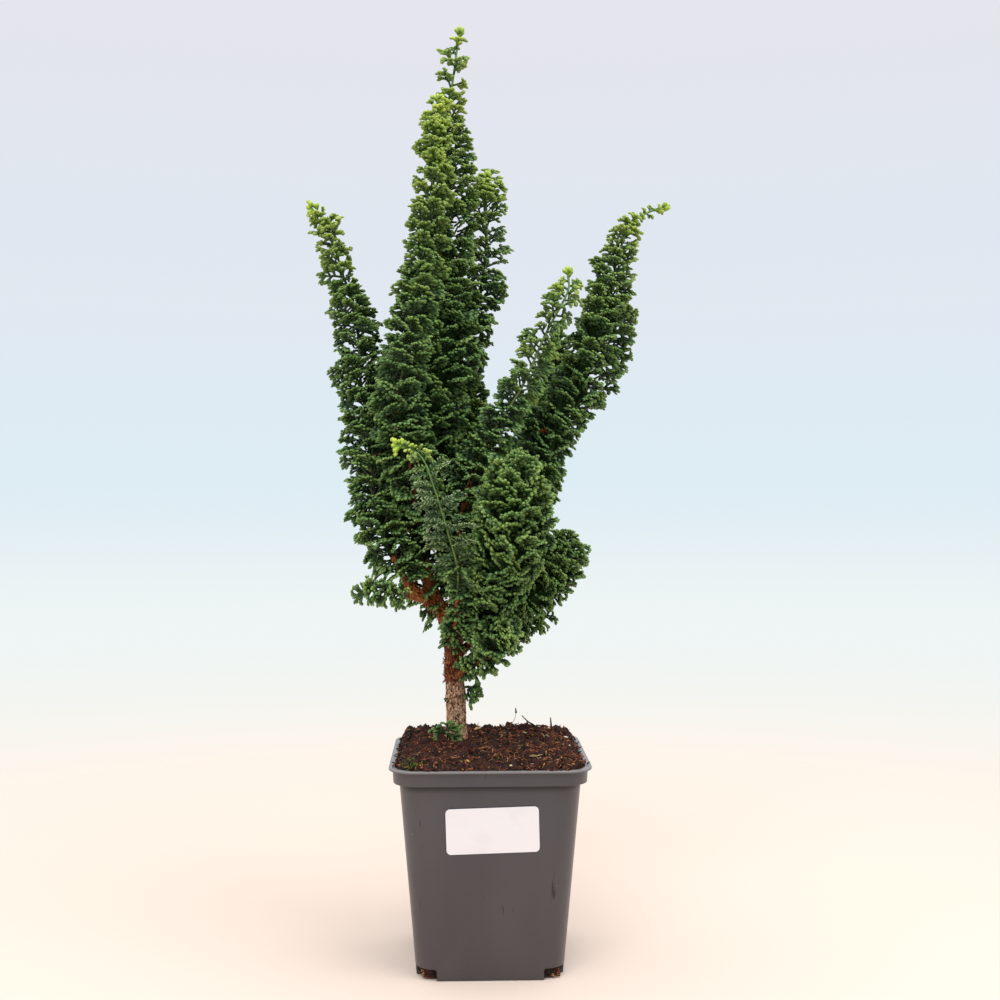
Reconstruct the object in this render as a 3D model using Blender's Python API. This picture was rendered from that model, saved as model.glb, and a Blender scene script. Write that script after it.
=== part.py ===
"""A potted hinoki cypress bonsai: nursery pot, label, soil, wood and the leafy shoots on it.

The frame is the pot's: the origin is the centre of the pot's base on the ground, +Z up, -Y to the
front, where the label is. Sizes below are millimetres, and MM turns them into Blender's metres.
"""

import math
import random
from functools import partial

import bmesh
import bpy
from mathutils import Matrix, Vector
from mathutils.bvhtree import BVHTree

MM = 0.001
GAP = 0.3  # between pieces that touch on the real plant

# Pot: a square thin-walled nursery pot with a stepped stacking rim
POT_HEIGHT = 116.0
LIP_HALF = 55.0
LIP_THICKNESS = 1.2
BAND_HALF = 53.0
BAND_DRAFT = 0.4
BAND_HEIGHT = 8.5
BODY_TOP_HALF = 49.4
BODY_BASE_HALF = 40.3
WALL = 1.3
FLOOR = 2.0
CORNER_TOP = 12.0
CORNER_BASE = 11.0
CORNER_STEPS = 3
NOTCH_FROM = 29.0  # the skirt between the corner notches is twice this wide
NOTCH_HEIGHT = 6.3

# Label: a blank sticker on the front wall
LABEL_WIDTH = 50.0
LABEL_HEIGHT = 25.0
LABEL_THICKNESS = 0.4
LABEL_CORNER = 2.5
LABEL_CENTRE_X = 1.0
LABEL_CENTRE_Z = 82.4
LABEL_TURN = 1.7  # degrees, its right end up

# Soil: lumpy, low along the pot's wall and mounded in the middle
SOIL_EDGE = 112.5
SOIL_MOUND = 7.5
SOIL_BACK = 3.6  # how much higher it lies along the back wall
SOIL_BUMP = 1.3
SOIL_RINGS = 6

# Wood: the trunk runs on into the leader, and TRUNK_RADII is its radius at heights
TRUNK_PATH = [
    (-18, 2, 100), (-18, 2, 112), (-18, 2, 121), (-19, 2, 145), (-20, 1, 168), (-22, 0, 184),
    (-26, -2, 196), (-32, -3, 207), (-37, -4, 225), (-40, -3, 248), (-40, 0, 271), (-39, 2, 294),
    (-35, 4, 317), (-31, 5, 342), (-28, 5, 375),
]
TRUNK_RADII = [(100, 8.2), (112, 8.6), (121, 7.6), (133, 6.4), (160, 6.0), (172, 5.4), (196, 5.0),
               (225, 3.8), (271, 3.0), (317, 2.2), (375, 1.4)]
TRUNK_SIDES = 7
TRUNK_STEP = 16.0
ROOTS = [(25, 33), (115, 28), (205, 21), (300, 32)]  # bearing and length of each main root
ROOT_DROP = 26.0
ROOT_RADIUS = 3.2
ROOT_TIP_RADIUS = 1.2
ROOT_SIDES = 5

# Branches: waypoints, and the radius at the two ends
BRANCHES = {
    "second_leader": ([(-39, -3, 240), (-43, -16, 268), (-49, -24, 300), (-50, -27, 320)], 2.6, 1.3),
    "left": ([(-28, -3, 197), (-36, -8, 205), (-45, -12, 212), (-57, -14, 234)], 3.8, 1.6),
    "right_centre": ([(-37, 3, 300), (-29, 14, 314), (-20, 20, 336)], 1.8, 1.3),
    "middle": ([(-22, 0, 186), (-18, -5, 215), (-16, -6, 248), (-8, -14, 279)], 3.2, 1.4),
    "right": ([(-20, 2, 170), (-11, 8, 202), (2, 12, 227), (16, 12, 257), (30, 10, 288),
               (49, 6, 325)], 3.8, 1.4),
    "front": ([(-21, -1, 178), (-19, -16, 190), (-18, -32, 206)], 2.4, 1.3),
    "low_right": ([(-20, 2, 166), (-8, 0, 182), (12, -4, 200)], 2.8, 1.4),
    "low_front": ([(-20, 0, 158), (-10, -13, 167), (0, -24, 173)], 2.4, 1.3),
    "low_back": ([(-20, 3, 162), (-6, 15, 172), (10, 22, 180)], 2.4, 1.3),
    "low_left": ([(-31, -3, 204), (-38, -16, 204), (-47, -26, 208)], 2.0, 1.3),
    "dome": ([(-21, -1, 174), (-8, -14, 194), (4, -28, 216)], 2.6, 1.4),
    "back": ([(-24, 0, 186), (-16, 24, 200), (-10, 38, 222)], 2.6, 1.4),
    "back_left": ([(-38, -3, 232), (-48, 14, 248), (-55, 26, 266)], 2.2, 1.3),
    "back_right": ([(2, 12, 227), (12, 26, 246), (20, 36, 268)], 2.2, 1.3),
}
BRANCH_SIDES = 5
BRANCH_STEP = 22.0

# Leafy shoots. Each has a slim core of inner foliage round its stem, which starts at `start` of
# its branch, follows it and goes on along `onward`. `reach` is how far the fans stand out of the
# stem, from the shoot's start to its tip, `gap` is the distance between fans and `grown` the share
# past which the shoot is this year's yellow-green tip.
SHOOTS = {
    "leader": dict(
        branch="trunk", start=0.41, gap=6.6, grown=0.86, core=0.26,
        onward=[(-24, 4, 409), (-23, 3, 443), (-24, 2, 466), (-22, 2, 489), (-19, 2, 512),
                (-17, 2, 528)],
        reach=[18, 27, 29, 29, 28, 26, 22, 18, 11, 6]),
    "second_leader": dict(
        branch="second_leader", start=0.36, gap=7.0, grown=0.80, core=0.24,
        onward=[(-47, -28, 335), (-41, -26, 370), (-36, -22, 404), (-32, -16, 438), (-30, -14, 461),
                (-29, -12, 485)],
        reach=[18, 20, 18, 16, 15, 13, 11, 9, 5]),
    "left_plume": dict(
        branch="left", start=0.62, gap=6.9, grown=0.88, core=0.24,
        onward=[(-64, -12, 259), (-67, -8, 282), (-69, -5, 305), (-73, -3, 329), (-74, -2, 350),
                (-77, -2, 370), (-84, 0, 391), (-89, 2, 408), (-94, 2, 421), (-101, 0, 425)],
        reach=[18, 19, 17, 16, 17, 16, 15, 13, 10, 5]),
    "right_centre_plume": dict(
        branch="right_centre", start=0.6, gap=6.4, grown=0.78, core=0.26,
        onward=[(-12, 22, 361), (-6, 22, 377), (-1, 20, 406), (-1, 18, 424), (-1, 16, 449)],
        reach=[20, 23, 23, 22, 17, 14, 12, 5]),
    "middle_plume": dict(
        branch="middle", start=0.34, gap=6.9, grown=0.90, core=0.24,
        onward=[(1, -18, 296), (10, -20, 310), (19, -20, 325), (32, -19, 354), (44, -16, 377),
                (44, -14, 388)],
        reach=[16, 22, 22, 19, 19, 18, 16, 11, 6]),
    "right_plume": dict(
        branch="right", start=0.32, gap=6.4, grown=0.83, core=0.26,
        onward=[(59, 4, 349), (65, 2, 366), (70, 2, 380), (74, 2, 398), (81, 2, 418), (90, 2, 425),
                (101, 2, 429)],
        reach=[20, 27, 26, 23, 22, 24, 22, 15, 11, 5]),
    "front_plume": dict(
        branch="front", start=0.60, gap=6.2, grown=0.88, core=0.24,
        onward=[(-18, -46, 224), (-23, -57, 243), (-28, -60, 254), (-33, -62, 264), (-38, -62, 275),
                (-43, -60, 285)],
        reach=[18, 21, 21, 19, 14, 6]),
    "dome_plume": dict(
        branch="dome", start=0.50, gap=5.2, grown=1.0, core=0.28,
        onward=[(10, -42, 238), (12, -50, 258), (12, -52, 276)],
        reach=[20, 26, 26, 18]),
    "back_plume": dict(
        branch="back", start=0.5, gap=6.9, grown=1.0, core=0.28,
        onward=[(-8, 44, 246), (-8, 42, 272), (-12, 38, 300), (-13, 36, 328)],
        reach=[20, 27, 27, 26, 22, 10]),
    "back_left_plume": dict(
        branch="back_left", start=0.50, gap=6.7, grown=1.0, core=0.26,
        onward=[(-59, 30, 292), (-58, 32, 322), (-54, 30, 350)],
        reach=[19, 24, 22, 18, 8]),
    "back_right_plume": dict(
        branch="back_right", start=0.50, gap=6.7, grown=1.0, core=0.26,
        onward=[(28, 42, 298), (35, 42, 326), (42, 38, 352)],
        reach=[20, 25, 23, 18, 8]),
    "low_right_spray": dict(
        branch="low_right", start=0.50, gap=4.8, grown=1.0, core=0.24,
        onward=[(24, -8, 209), (35, -9, 222), (42, -9, 236)],
        reach=[18, 22, 20, 13]),
    "low_front_spray": dict(
        branch="low_front", start=0.62, gap=4.6, grown=1.0, core=0.28,
        onward=[(5, -29, 176), (10, -33, 177)],
        reach=[13, 15, 9]),
    "low_back_spray": dict(
        branch="low_back", start=0.55, gap=4.6, grown=1.0, core=0.28,
        onward=[(21, 26, 187), (31, 27, 191)],
        reach=[15, 17, 10]),
    "low_left_spray": dict(
        branch="low_left", start=0.7, gap=4.6, grown=1.0, core=0.28,
        onward=[(-54, -31, 211), (-61, -34, 214)],
        reach=[13, 14, 9]),
}
SHOOT_STEP = 22.0
CORE_SIDES = 5
TIP_CORE = 0.16  # share of the reach, as `core` is in the shoots
CORE_END = 0.5  # how far a core narrows at its ends
READINGS = 8
SLEEVE = 2.3  # how far a core stands out round the wood in it
WOOD_CLEAR = 0.9  # how far a fan's root stays off the wood
STEM_RADIUS = 0.9
FAN_PITCH = [84, 56, 47, 42, 39, 36]  # degrees between a fan and its stem, from start to tip
TIP_PITCH = 6.0
FAN_TILT = (50, 88)  # degrees a fan is turned from edge-on to facing outward
GOLDEN_TURN = 137.5

# What a fan tries in turn to clear its neighbours: its length's share, degrees added to its pitch,
# how far its blade is laid over from its own tilt, and degrees it moves round the stem
FAN_TRIES = [
    (shrink, more, flat, turn)
    for shrink in (1.0, 0.86, 0.72, 0.58)
    for more in (0, 9, -8)
    for flat in (0.0, 0.5, 1.0)
    for turn in (0, 16, -16, 32, -32, 50, -50)
]

# Sprouts low on the trunk: start, end, how far their fans reach and how many side fans each has
SPROUTS = {
    "trunk_sprout": ((-12.6, 1.5, 150), (-5, -1, 156), 10, 2),
    "base_sprout": ((-22.75, -3.95, 124.5), (-26.5, -10.5, 129), 11, 3),
}
SPROUT_STEM_RADIUS = 1.0
SPROUT_PITCH = [55, 45]
SPROUT_SIDE = 0.8  # a side fan's share of the reach

# A fan: a flat spray of hinoki, cut into blunt lobes. Its sizes are shares of its length.
FAN_LOBES = 5
TIP_LOBES = 3
FAN_SPREAD = 44.0  # degrees from the fan's middle to its outer lobes
LOBE_HALF = 6.0  # degrees, half the width of a lobe's blunt end
NOTCH_DEPTH = 0.55
STALK = 0.24  # how far out the stalk ends
STALK_HALF = 8.0  # degrees
FAN_CENTRE = 0.42
FAN_DROOP = 0.16
FAN_CUP = 0.30
FAN_THICKNESS = 2.2
FAN_SINK = 2.0  # how deep a fan's root is sunk into its core
SMALL_FAN = 13.0  # a fan shorter than this has TIP_LOBES lobes
SMALL_FAN_THICKNESS = 0.16  # share of its length, where that is less than FAN_THICKNESS
OUTER_SHORTER = 0.3  # how much shorter the outer lobes are
SEED = 7

LEAF_GREEN = (0.045, 0.125, 0.035)
YOUNG_GREEN = (0.30, 0.48, 0.05)
BARK_BROWN = (0.20, 0.085, 0.045)
SOIL_BROWN = (0.055, 0.026, 0.018)
POT_GREY = (0.082, 0.078, 0.084)
LABEL_WHITE = (0.86, 0.82, 0.81)


def material(name, colour, roughness):
    """A plain coloured surface."""
    made = bpy.data.materials.new(name)
    made.use_nodes = True
    surface = made.node_tree.nodes["Principled BSDF"]
    surface.inputs["Base Color"].default_value = (*colour, 1.0)
    surface.inputs["Roughness"].default_value = roughness
    surface.inputs["Metallic"].default_value = 0.0
    made.diffuse_color = (*colour, 1.0)
    return made


def mesh_object(name, shape, finish=None):
    """An object from points in millimetres and faces, its normals facing out."""
    points, faces = shape
    mesh = bpy.data.meshes.new(name)
    mesh.from_pydata([Vector(p) * MM for p in points], [], faces)
    work = bmesh.new()
    work.from_mesh(mesh)
    if work.calc_volume(signed=True) < 0:
        bmesh.ops.reverse_faces(work, faces=work.faces)
    work.to_mesh(mesh)
    work.free()
    made = bpy.data.objects.new(name, mesh)
    bpy.context.scene.collection.objects.link(made)
    if finish:
        mesh.materials.append(finish)
    return made


def apply_boolean(target, operation, cutter=None, group=None, solver="EXACT"):
    """Cuts or joins target with one object, or with all of a collection, and removes those."""
    step = target.modifiers.new(operation, "BOOLEAN")
    step.operation = operation
    step.solver = solver
    if group:
        step.operand_type = "COLLECTION"
        step.collection = group
    else:
        step.object = cutter
    evaluated = target.evaluated_get(bpy.context.evaluated_depsgraph_get())
    mesh = bpy.data.meshes.new_from_object(evaluated)
    target.modifiers.clear()
    target.data = mesh
    for used in list(group.objects) if group else [cutter]:
        bpy.data.objects.remove(used)
    if group:
        bpy.data.collections.remove(group)


def fuse(name, shapes, finish):
    """One solid from a core or stem, which comes first, and the closed shapes sunk into it.

    Many fans meet in one core, where the exact solver leaves faces inside and MANIFOLD doesn't.
    """
    body = mesh_object(name, shapes[0], finish)
    if len(shapes) > 1:
        group = bpy.data.collections.new(name + "_repeats")
        bpy.context.scene.collection.children.link(group)
        for index, shape in enumerate(shapes[1:]):
            piece = mesh_object(f"{name}_repeat_{index}", shape, finish)
            bpy.context.scene.collection.objects.unlink(piece)
            group.objects.link(piece)
        apply_boolean(body, "UNION", group=group, solver="MANIFOLD")
    return body


def smooth_path(points, step):
    """Points about a step apart on a smooth curve through the waypoints."""
    spots = [Vector(p) for p in points]
    ends = [2 * spots[0] - spots[1], *spots, 2 * spots[-1] - spots[-2]]
    path = []
    for before, here, there, after in zip(ends, ends[1:], ends[2:], ends[3:]):
        pieces = max(1, round((there - here).length / step))
        for k in range(pieces):
            t = k / pieces
            path.append(
                0.5 * (2 * here + (there - before) * t
                       + (2 * before - 5 * here + 4 * there - after) * t * t
                       + (3 * here - before - 3 * there + after) * t * t * t)
            )
    path.append(spots[-1])
    return path


def line_length(path):
    """Length of a line through points."""
    return sum((there - here).length for here, there in zip(path, path[1:]))


def distances(path):
    """How far along the path each of its points is."""
    run = [0.0]
    for here, there in zip(path, path[1:]):
        run.append(run[-1] + (there - here).length)
    return run


def along(path, distance):
    """The point and the direction at a distance along the path."""
    for here, there in zip(path, path[1:]):
        piece = (there - here).length
        if distance <= piece:
            return here.lerp(there, distance / piece), (there - here) / piece
        distance -= piece
    return path[-1].copy(), (path[-1] - path[-2]).normalized()


def cut_path(path, low, high):
    """The stretch of a path between two distances along it."""
    run, kept = 0.0, [along(path, low)[0]]
    for here, there in zip(path, path[1:]):
        run += (there - here).length
        if low + 1.0 < run < high - 1.0:
            kept.append(there)
    kept.append(along(path, high)[0])
    return kept


def profile(values, share):
    """A value read from evenly spaced ones."""
    place = min(max(share, 0.0), 1.0) * (len(values) - 1)
    low = min(int(place), len(values) - 2)
    return values[low] + (values[low + 1] - values[low]) * (place - low)


def read(pairs, place):
    """A value read from (place, value) pairs in rising order."""
    for (low, first), (high, second) in zip(pairs, pairs[1:]):
        if place <= high:
            return first + (second - first) * (place - low) / (high - low)
    return pairs[-1][1]


def bearing_vector(bearing):
    """A level direction from degrees counted from +X towards +Y."""
    return Vector((math.cos(math.radians(bearing)), math.sin(math.radians(bearing)), 0))


def tube(path, radii, sides):
    """A closed tube along a path, with a radius at each of its points."""
    points, faces = [], []
    side = Vector((0, -1, 0)) if abs((path[1] - path[0]).normalized().y) < 0.9 else Vector((1, 0, 0))
    for i, spot in enumerate(path):
        ahead = (path[min(i + 1, len(path) - 1)] - path[max(i - 1, 0)]).normalized()
        side = (side - ahead * side.dot(ahead)).normalized()
        across = ahead.cross(side)
        for k in range(sides):
            a = 2 * math.pi * k / sides
            points.append(spot + (side * math.cos(a) + across * math.sin(a)) * radii[i])
    for i in range(len(path) - 1):
        for k in range(sides):
            j = (k + 1) % sides
            faces.append((i * sides + k, i * sides + j, (i + 1) * sides + j, (i + 1) * sides + k))
    faces.append(tuple(reversed(range(sides))))
    faces.append(tuple(range((len(path) - 1) * sides, len(path) * sides)))
    return points, faces


def rounded_square(half, corner, z):
    """A square outline with round corners, as points."""
    ring = []
    for quarter in range(4):
        middle = bearing_vector(45 + quarter * 90) * math.sqrt(2) * (half - corner) + Vector((0, 0, z))
        for k in range(CORNER_STEPS + 1):
            ring.append(middle + bearing_vector(90 * (quarter + k / CORNER_STEPS)) * corner)
    return ring


def skin(rings):
    """Points and faces of a closed shape through rings of equally many points."""
    count = len(rings[0])
    points = [p for ring in rings for p in ring]
    faces = [tuple(reversed(range(count))), tuple(range(len(points) - count, len(points)))]
    for i in range(len(rings) - 1):
        for k in range(count):
            j = (k + 1) % count
            faces.append((i * count + k, i * count + j, (i + 1) * count + j, (i + 1) * count + k))
    return points, faces


def body_half(z):
    """Half the pot's outer width at a height on its sloping body."""
    share = z / (POT_HEIGHT - BAND_HEIGHT)
    return BODY_BASE_HALF + (BODY_TOP_HALF - BODY_BASE_HALF) * share


def build_pot(finish):
    """The thin-walled square pot, its rim stepped out and its base notched at the corners."""
    shelf = POT_HEIGHT - BAND_HEIGHT
    outside = [
        rounded_square(BODY_BASE_HALF, CORNER_BASE, 0),
        rounded_square(BODY_TOP_HALF, CORNER_TOP, shelf),
        rounded_square(BAND_HALF - BAND_DRAFT, CORNER_TOP + 1, shelf),
        rounded_square(BAND_HALF, CORNER_TOP + 1, POT_HEIGHT - LIP_THICKNESS),
        rounded_square(LIP_HALF, CORNER_TOP + 2, POT_HEIGHT - LIP_THICKNESS),
        rounded_square(LIP_HALF, CORNER_TOP + 2, POT_HEIGHT),
    ]
    inside = [
        rounded_square(BAND_HALF - WALL, CORNER_TOP, POT_HEIGHT),
        rounded_square(BAND_HALF - BAND_DRAFT - WALL, CORNER_TOP, shelf + WALL),
        rounded_square(BODY_TOP_HALF - WALL, CORNER_TOP - WALL, shelf + WALL),
        rounded_square(body_half(FLOOR) - WALL, CORNER_BASE - WALL, FLOOR),
    ]
    pot = mesh_object("pot", skin(outside + inside), finish)
    reach = LIP_HALF - NOTCH_FROM
    for side_x in (-1, 1):
        for side_y in (-1, 1):
            corners = [
                (side_x * (NOTCH_FROM + reach * x), side_y * (NOTCH_FROM + reach * y))
                for x, y in ((0, 0), (1, 0), (1, 1), (0, 1))
            ]
            rings = [[Vector((x, y, NOTCH_HEIGHT * z)) for x, y in corners] for z in (-1, 1)]
            apply_boolean(pot, "DIFFERENCE", cutter=mesh_object("notch", skin(rings)))
    return pot


def build_label(finish):
    """The blank sticker on the sloping front wall."""
    slope = math.atan2(BODY_TOP_HALF - BODY_BASE_HALF, POT_HEIGHT - BAND_HEIGHT)
    flatten = (LABEL_WIDTH - LABEL_HEIGHT) / 2
    square = rounded_square(LABEL_WIDTH / 2, LABEL_CORNER, 0)
    outline = [p - Vector((0, math.copysign(flatten, p.y), 0)) for p in square]
    rings = [[p + Vector((0, 0, z)) for p in outline] for z in (0, LABEL_THICKNESS)]
    label = mesh_object("label", skin(rings), finish)
    stand = Matrix.Rotation(math.pi / 2 + slope, 4, "X") @ Matrix.Rotation(math.radians(LABEL_TURN), 4, "Z")
    centre = Vector((LABEL_CENTRE_X, -body_half(LABEL_CENTRE_Z) - GAP, LABEL_CENTRE_Z))
    label.matrix_world = Matrix.Translation(centre * MM) @ stand
    return label


def soil_height(x, y):
    """Height of the soil's lumpy top."""
    inward = min(1.0, (1 - max(abs(x), abs(y)) / (BAND_HALF - WALL - GAP)) / 0.45)
    rise = inward * (2 - inward)
    lumps = math.sin(x * 0.31 + 1.0) * math.sin(y * 0.37 + 2.0) + 0.7 * math.sin(x * 0.53 + y * 0.47)
    back = SOIL_BACK * max(0.0, y / BAND_HALF)
    return SOIL_EDGE + SOIL_MOUND * rise + back + SOIL_BUMP * lumps * (0.35 + rise * 0.65)


def build_soil(finish, hole):
    """The plug of potting soil that fills the pot, with a plain hole where the wood stands."""
    shelf = POT_HEIGHT - BAND_HEIGHT
    clear = WALL + GAP + 0.1
    top_half = BAND_HALF - BAND_DRAFT - clear
    rings = [
        rounded_square(body_half(FLOOR) - clear, CORNER_BASE - WALL, FLOOR + GAP),
        rounded_square(body_half(shelf) - clear, CORNER_TOP - WALL, shelf + WALL + GAP),
        rounded_square(top_half, CORNER_TOP, shelf + WALL + GAP),
    ]
    for i in range(SOIL_RINGS):
        share = 1 - (i / SOIL_RINGS) ** 1.15
        ring = rounded_square(top_half * share, CORNER_TOP * share, 0)
        rings.append([Vector((p.x, p.y, soil_height(p.x, p.y))) for p in ring])
    soil = mesh_object("soil", skin(rings), finish)
    apply_boolean(soil, "DIFFERENCE", cutter=hole)
    return soil


def branch_line(name):
    """The smooth line of a branch, or of the trunk."""
    if name == "trunk":
        return smooth_path(TRUNK_PATH, TRUNK_STEP)
    return smooth_path(BRANCHES[name][0], BRANCH_STEP)


def branch_tube(name, extra=0.0):
    """The tube of a branch or of the trunk, made wider and longer by what is extra."""
    path = branch_line(name)
    if name == "trunk":
        radii = [read(TRUNK_RADII, p.z) + extra for p in path]
        sides = TRUNK_SIDES
    else:
        radii = [profile(BRANCHES[name][1:], i / (len(path) - 1)) + extra for i in range(len(path))]
        sides = BRANCH_SIDES
    path[0] = path[0] - (path[1] - path[0]).normalized() * extra
    path[-1] = path[-1] + (path[-1] - path[-2]).normalized() * extra
    return tube(path, radii, sides)


def root_tube(bearing, length, extra=0.0):
    """A main root, out of the trunk's foot and down into the soil."""
    foot = Vector(TRUNK_PATH[0])
    out = bearing_vector(bearing) * length
    down = Vector((0, 0, -ROOT_DROP))
    path = smooth_path(
        [foot - down * 0.23, foot + out * 0.4, foot + out * 0.75 + down * 0.45, foot + out + down], length
    )
    path[-1] = path[-1] + (path[-1] - path[-2]).normalized() * extra
    ends = [ROOT_RADIUS, ROOT_TIP_RADIUS]
    radii = [profile(ends, i / (len(path) - 1)) + extra for i in range(len(path))]
    return tube(path, radii, ROOT_SIDES)


def wood_shapes(extra=0.0):
    """The trunk with its roots."""
    return [branch_tube("trunk", extra)] + [root_tube(bearing, length, extra) for bearing, length in ROOTS]


def fan(length, grow=0.0):
    """A thin cupped blade cut into blunt lobes, its root at the origin and its middle along +X."""
    lobes = FAN_LOBES if length > SMALL_FAN else TIP_LOBES
    outline = [(0.0, 0.0), (STALK, -STALK_HALF)]
    for i in range(lobes):
        bearing = FAN_SPREAD * (2 * i / (lobes - 1) - 1)
        far = 1 - OUTER_SHORTER * (bearing / FAN_SPREAD) ** 2
        blunt = lobes == TIP_LOBES or 0 < i < lobes - 1
        ends = [bearing - LOBE_HALF, bearing + LOBE_HALF] if blunt else [bearing]
        outline += [(far, end) for end in ends]
        if i < lobes - 1:
            outline.append((NOTCH_DEPTH, bearing + FAN_SPREAD / (lobes - 1)))
    outline.append((STALK, STALK_HALF))
    points = []
    for far, bearing in outline:
        spot = bearing_vector(bearing) * far
        away = Vector((spot.x - FAN_CENTRE, spot.y, 0)).normalized() * grow
        drop = FAN_DROOP * spot.x ** 2 + FAN_CUP * spot.y ** 2
        points.append(spot * length + away - Vector((0, 0, drop * length)))
    middle = Vector((FAN_CENTRE, 0, -FAN_DROOP * FAN_CENTRE ** 2)) * length
    half = Vector((0, 0, min(FAN_THICKNESS, SMALL_FAN_THICKNESS * length) / 2 + grow))
    points += [middle + half, middle - half]
    count = len(outline)
    faces = []
    for i in range(count):
        j = (i + 1) % count
        faces += [(i, j, count), (j, i, count + 1)]
    return points, faces


def lobes_only(blade):
    """The part of a fan beyond its root and stalk, which stays out of its own core."""
    points, faces = blade
    stalk = {0, 1, len(points) - 3}
    return points, [face for face in faces if not stalk & set(face)]


def placed(shape, spot, ahead, normal):
    """The shape with its root at a spot, its +X turned ahead and its +Z near the normal."""
    ahead = ahead.normalized()
    across = normal.cross(ahead).normalized()
    turn = Matrix((ahead, across, ahead.cross(across))).transposed()
    points, faces = shape
    return [spot + turn @ p for p in points], faces


def surface(shape):
    """A tree of a shape's faces, to test what crosses them."""
    return BVHTree.FromPolygons(*shape)


class Foliage:
    """One green node: its core or stem, and the fans that stand out of it."""

    def __init__(self, name, path, core_radii, wood_inside, reaches, pitches, gap, at_tip, finish):
        self.name = name
        self.path = path
        self.core = list(zip(distances(path), core_radii))
        self.wood_inside = wood_inside  # the wood's radius at a distance, 0 where there is none
        self.reaches = reaches
        self.pitches = pitches
        self.gap = gap
        self.at_tip = at_tip
        self.finish = finish
        self.shapes = [tube(path, core_radii, CORE_SIDES)]
        self.trees = [surface(self.shapes[0])]
        self.length = line_length(path)

    def root_depth(self, distance):
        """How far from the stem's middle a fan is rooted: inside the core, but outside the wood."""
        inside = read(self.core, distance) * math.cos(math.pi / CORE_SIDES)
        wood = self.wood_inside(distance - SLEEVE)
        return max(inside - FAN_SINK, wood + WOOD_CLEAR if wood else 0.0)

    def crosses(self, tree):
        """Whether any of this node's shapes touches a tree."""
        return any(own.overlap(tree) for own in self.trees)

    def clear_of_own(self, blade, tree):
        """Whether a fan's lobes clear the core, and all of it the node's other fans."""
        if self.trees[0].overlap(surface(lobes_only(blade))):
            return False
        return not any(own.overlap(tree) for own in self.trees[1:])

    def add_fan(self, distance, bearing, pitch, draw, others):
        """Adds a fan, turned or shortened until it clears the other nodes and its own fans."""
        share = distance / self.length
        spot, ahead = along(self.path, distance)
        facing = Vector((0, -1, 0)) if abs(ahead.y) < 0.9 else Vector((0, 0, 1))
        side = (facing - ahead * facing.dot(ahead)).normalized()
        hand, tilt = draw.choice((-1, 1)), draw.uniform(*FAN_TILT)
        root = self.root_depth(distance)
        reach = profile(self.reaches, share) - root
        for shrink, more, flat, turn in FAN_TRIES:
            out = Matrix.Rotation(math.radians(bearing + turn), 3, ahead) @ side
            lean = math.radians(pitch + more)
            way = ahead * math.cos(lean) + out * math.sin(lean)
            lift = math.radians(hand * (tilt + (90 - tilt) * flat))
            normal = Matrix.Rotation(lift, 3, way) @ out.cross(ahead)
            length = shrink * reach / (math.sin(lean) if pitch > 30 else 0.9)
            start = spot + out * root
            blade = placed(fan(length), start, way, normal)
            own = surface(blade)
            around = surface(placed(fan(length, GAP), start, way, normal))
            if self.clear_of_own(blade, own) and not any(node.crosses(around) for node in others):
                self.shapes.append(blade)
                self.trees.append(own)
                return


class Wood:
    """The wood and the soil, which foliage stays clear of."""

    def __init__(self, objects):
        self.trees = []
        for solid in objects:
            points = [v.co / MM for v in solid.data.vertices]
            faces = [tuple(face.vertices) for face in solid.data.polygons]
            self.trees.append(surface((points, faces)))

    def crosses(self, tree):
        """Whether the wood or the soil touches a tree."""
        return any(own.overlap(tree) for own in self.trees)


def shoot_path(plan):
    """A shoot's line, along its branch and onward, and how much of its length the branch is in."""
    line = branch_line(plan["branch"])
    total = line_length(line)
    held = cut_path(line, total * plan["start"], total)
    return held + smooth_path([held[-1], *plan["onward"]], SHOOT_STEP)[1:], line_length(held)


def wood_radius(plan, low, held, distance):
    """Radius of the branch inside a shoot's node, at a distance from the node's start at low."""
    distance += low
    if distance > held + GAP:
        return 0.0
    distance = max(distance, 0.0)
    line = branch_line(plan["branch"])
    total = line_length(line)
    place = total - held + distance
    if plan["branch"] == "trunk":
        return read(TRUNK_RADII, along(line, place)[0].z)
    return profile(BRANCHES[plan["branch"]][1:], place / total)


def core_radii(places, reaches, thick, wood_inside):
    """A core's radius at each of its places: a share of the fans' reach, and over its wood."""
    radii = []
    for i, place in enumerate(places):
        wood = wood_inside(places[max(0, i - 1)])
        taper = CORE_END if place in (0.0, places[-1]) else 1.0
        least = (wood + SLEEVE) / math.cos(math.pi / CORE_SIDES) if wood else STEM_RADIUS
        radii.append(max(least, profile(reaches, place / places[-1]) * thick * taper))
    return radii


def shoot_node(plan, name, low, high, thick, finish):
    """The green node of a shoot's stretch between two distances along it, before its fans."""
    path, held = shoot_path(plan)
    total = line_length(path)
    line = cut_path(path, low, high)
    shares = [(low + (high - low) * k / READINGS) / total for k in range(READINGS + 1)]
    reaches = [profile(plan["reach"], share) for share in shares]
    pitches = [profile(FAN_PITCH, share) for share in shares]
    wood_inside = partial(wood_radius, plan, low, held)
    core = core_radii(distances(line), reaches, thick, wood_inside)
    at_tip = high == total
    return Foliage(name, line, core, wood_inside, reaches, pitches, plan["gap"], at_tip, finish)


def plan_shoots(leaf, young):
    """The nodes of all shoots, each grown one with its young tip as a node of its own."""
    nodes = []
    for name, plan in SHOOTS.items():
        total = line_length(shoot_path(plan)[0])
        cut = total * plan["grown"]
        nodes.append(shoot_node(plan, name, 0.0, cut, plan["core"], leaf))
        if plan["grown"] < 1:
            nodes.append(shoot_node(plan, name + "_tip", cut + GAP, total, TIP_CORE, young))
    return nodes


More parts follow.
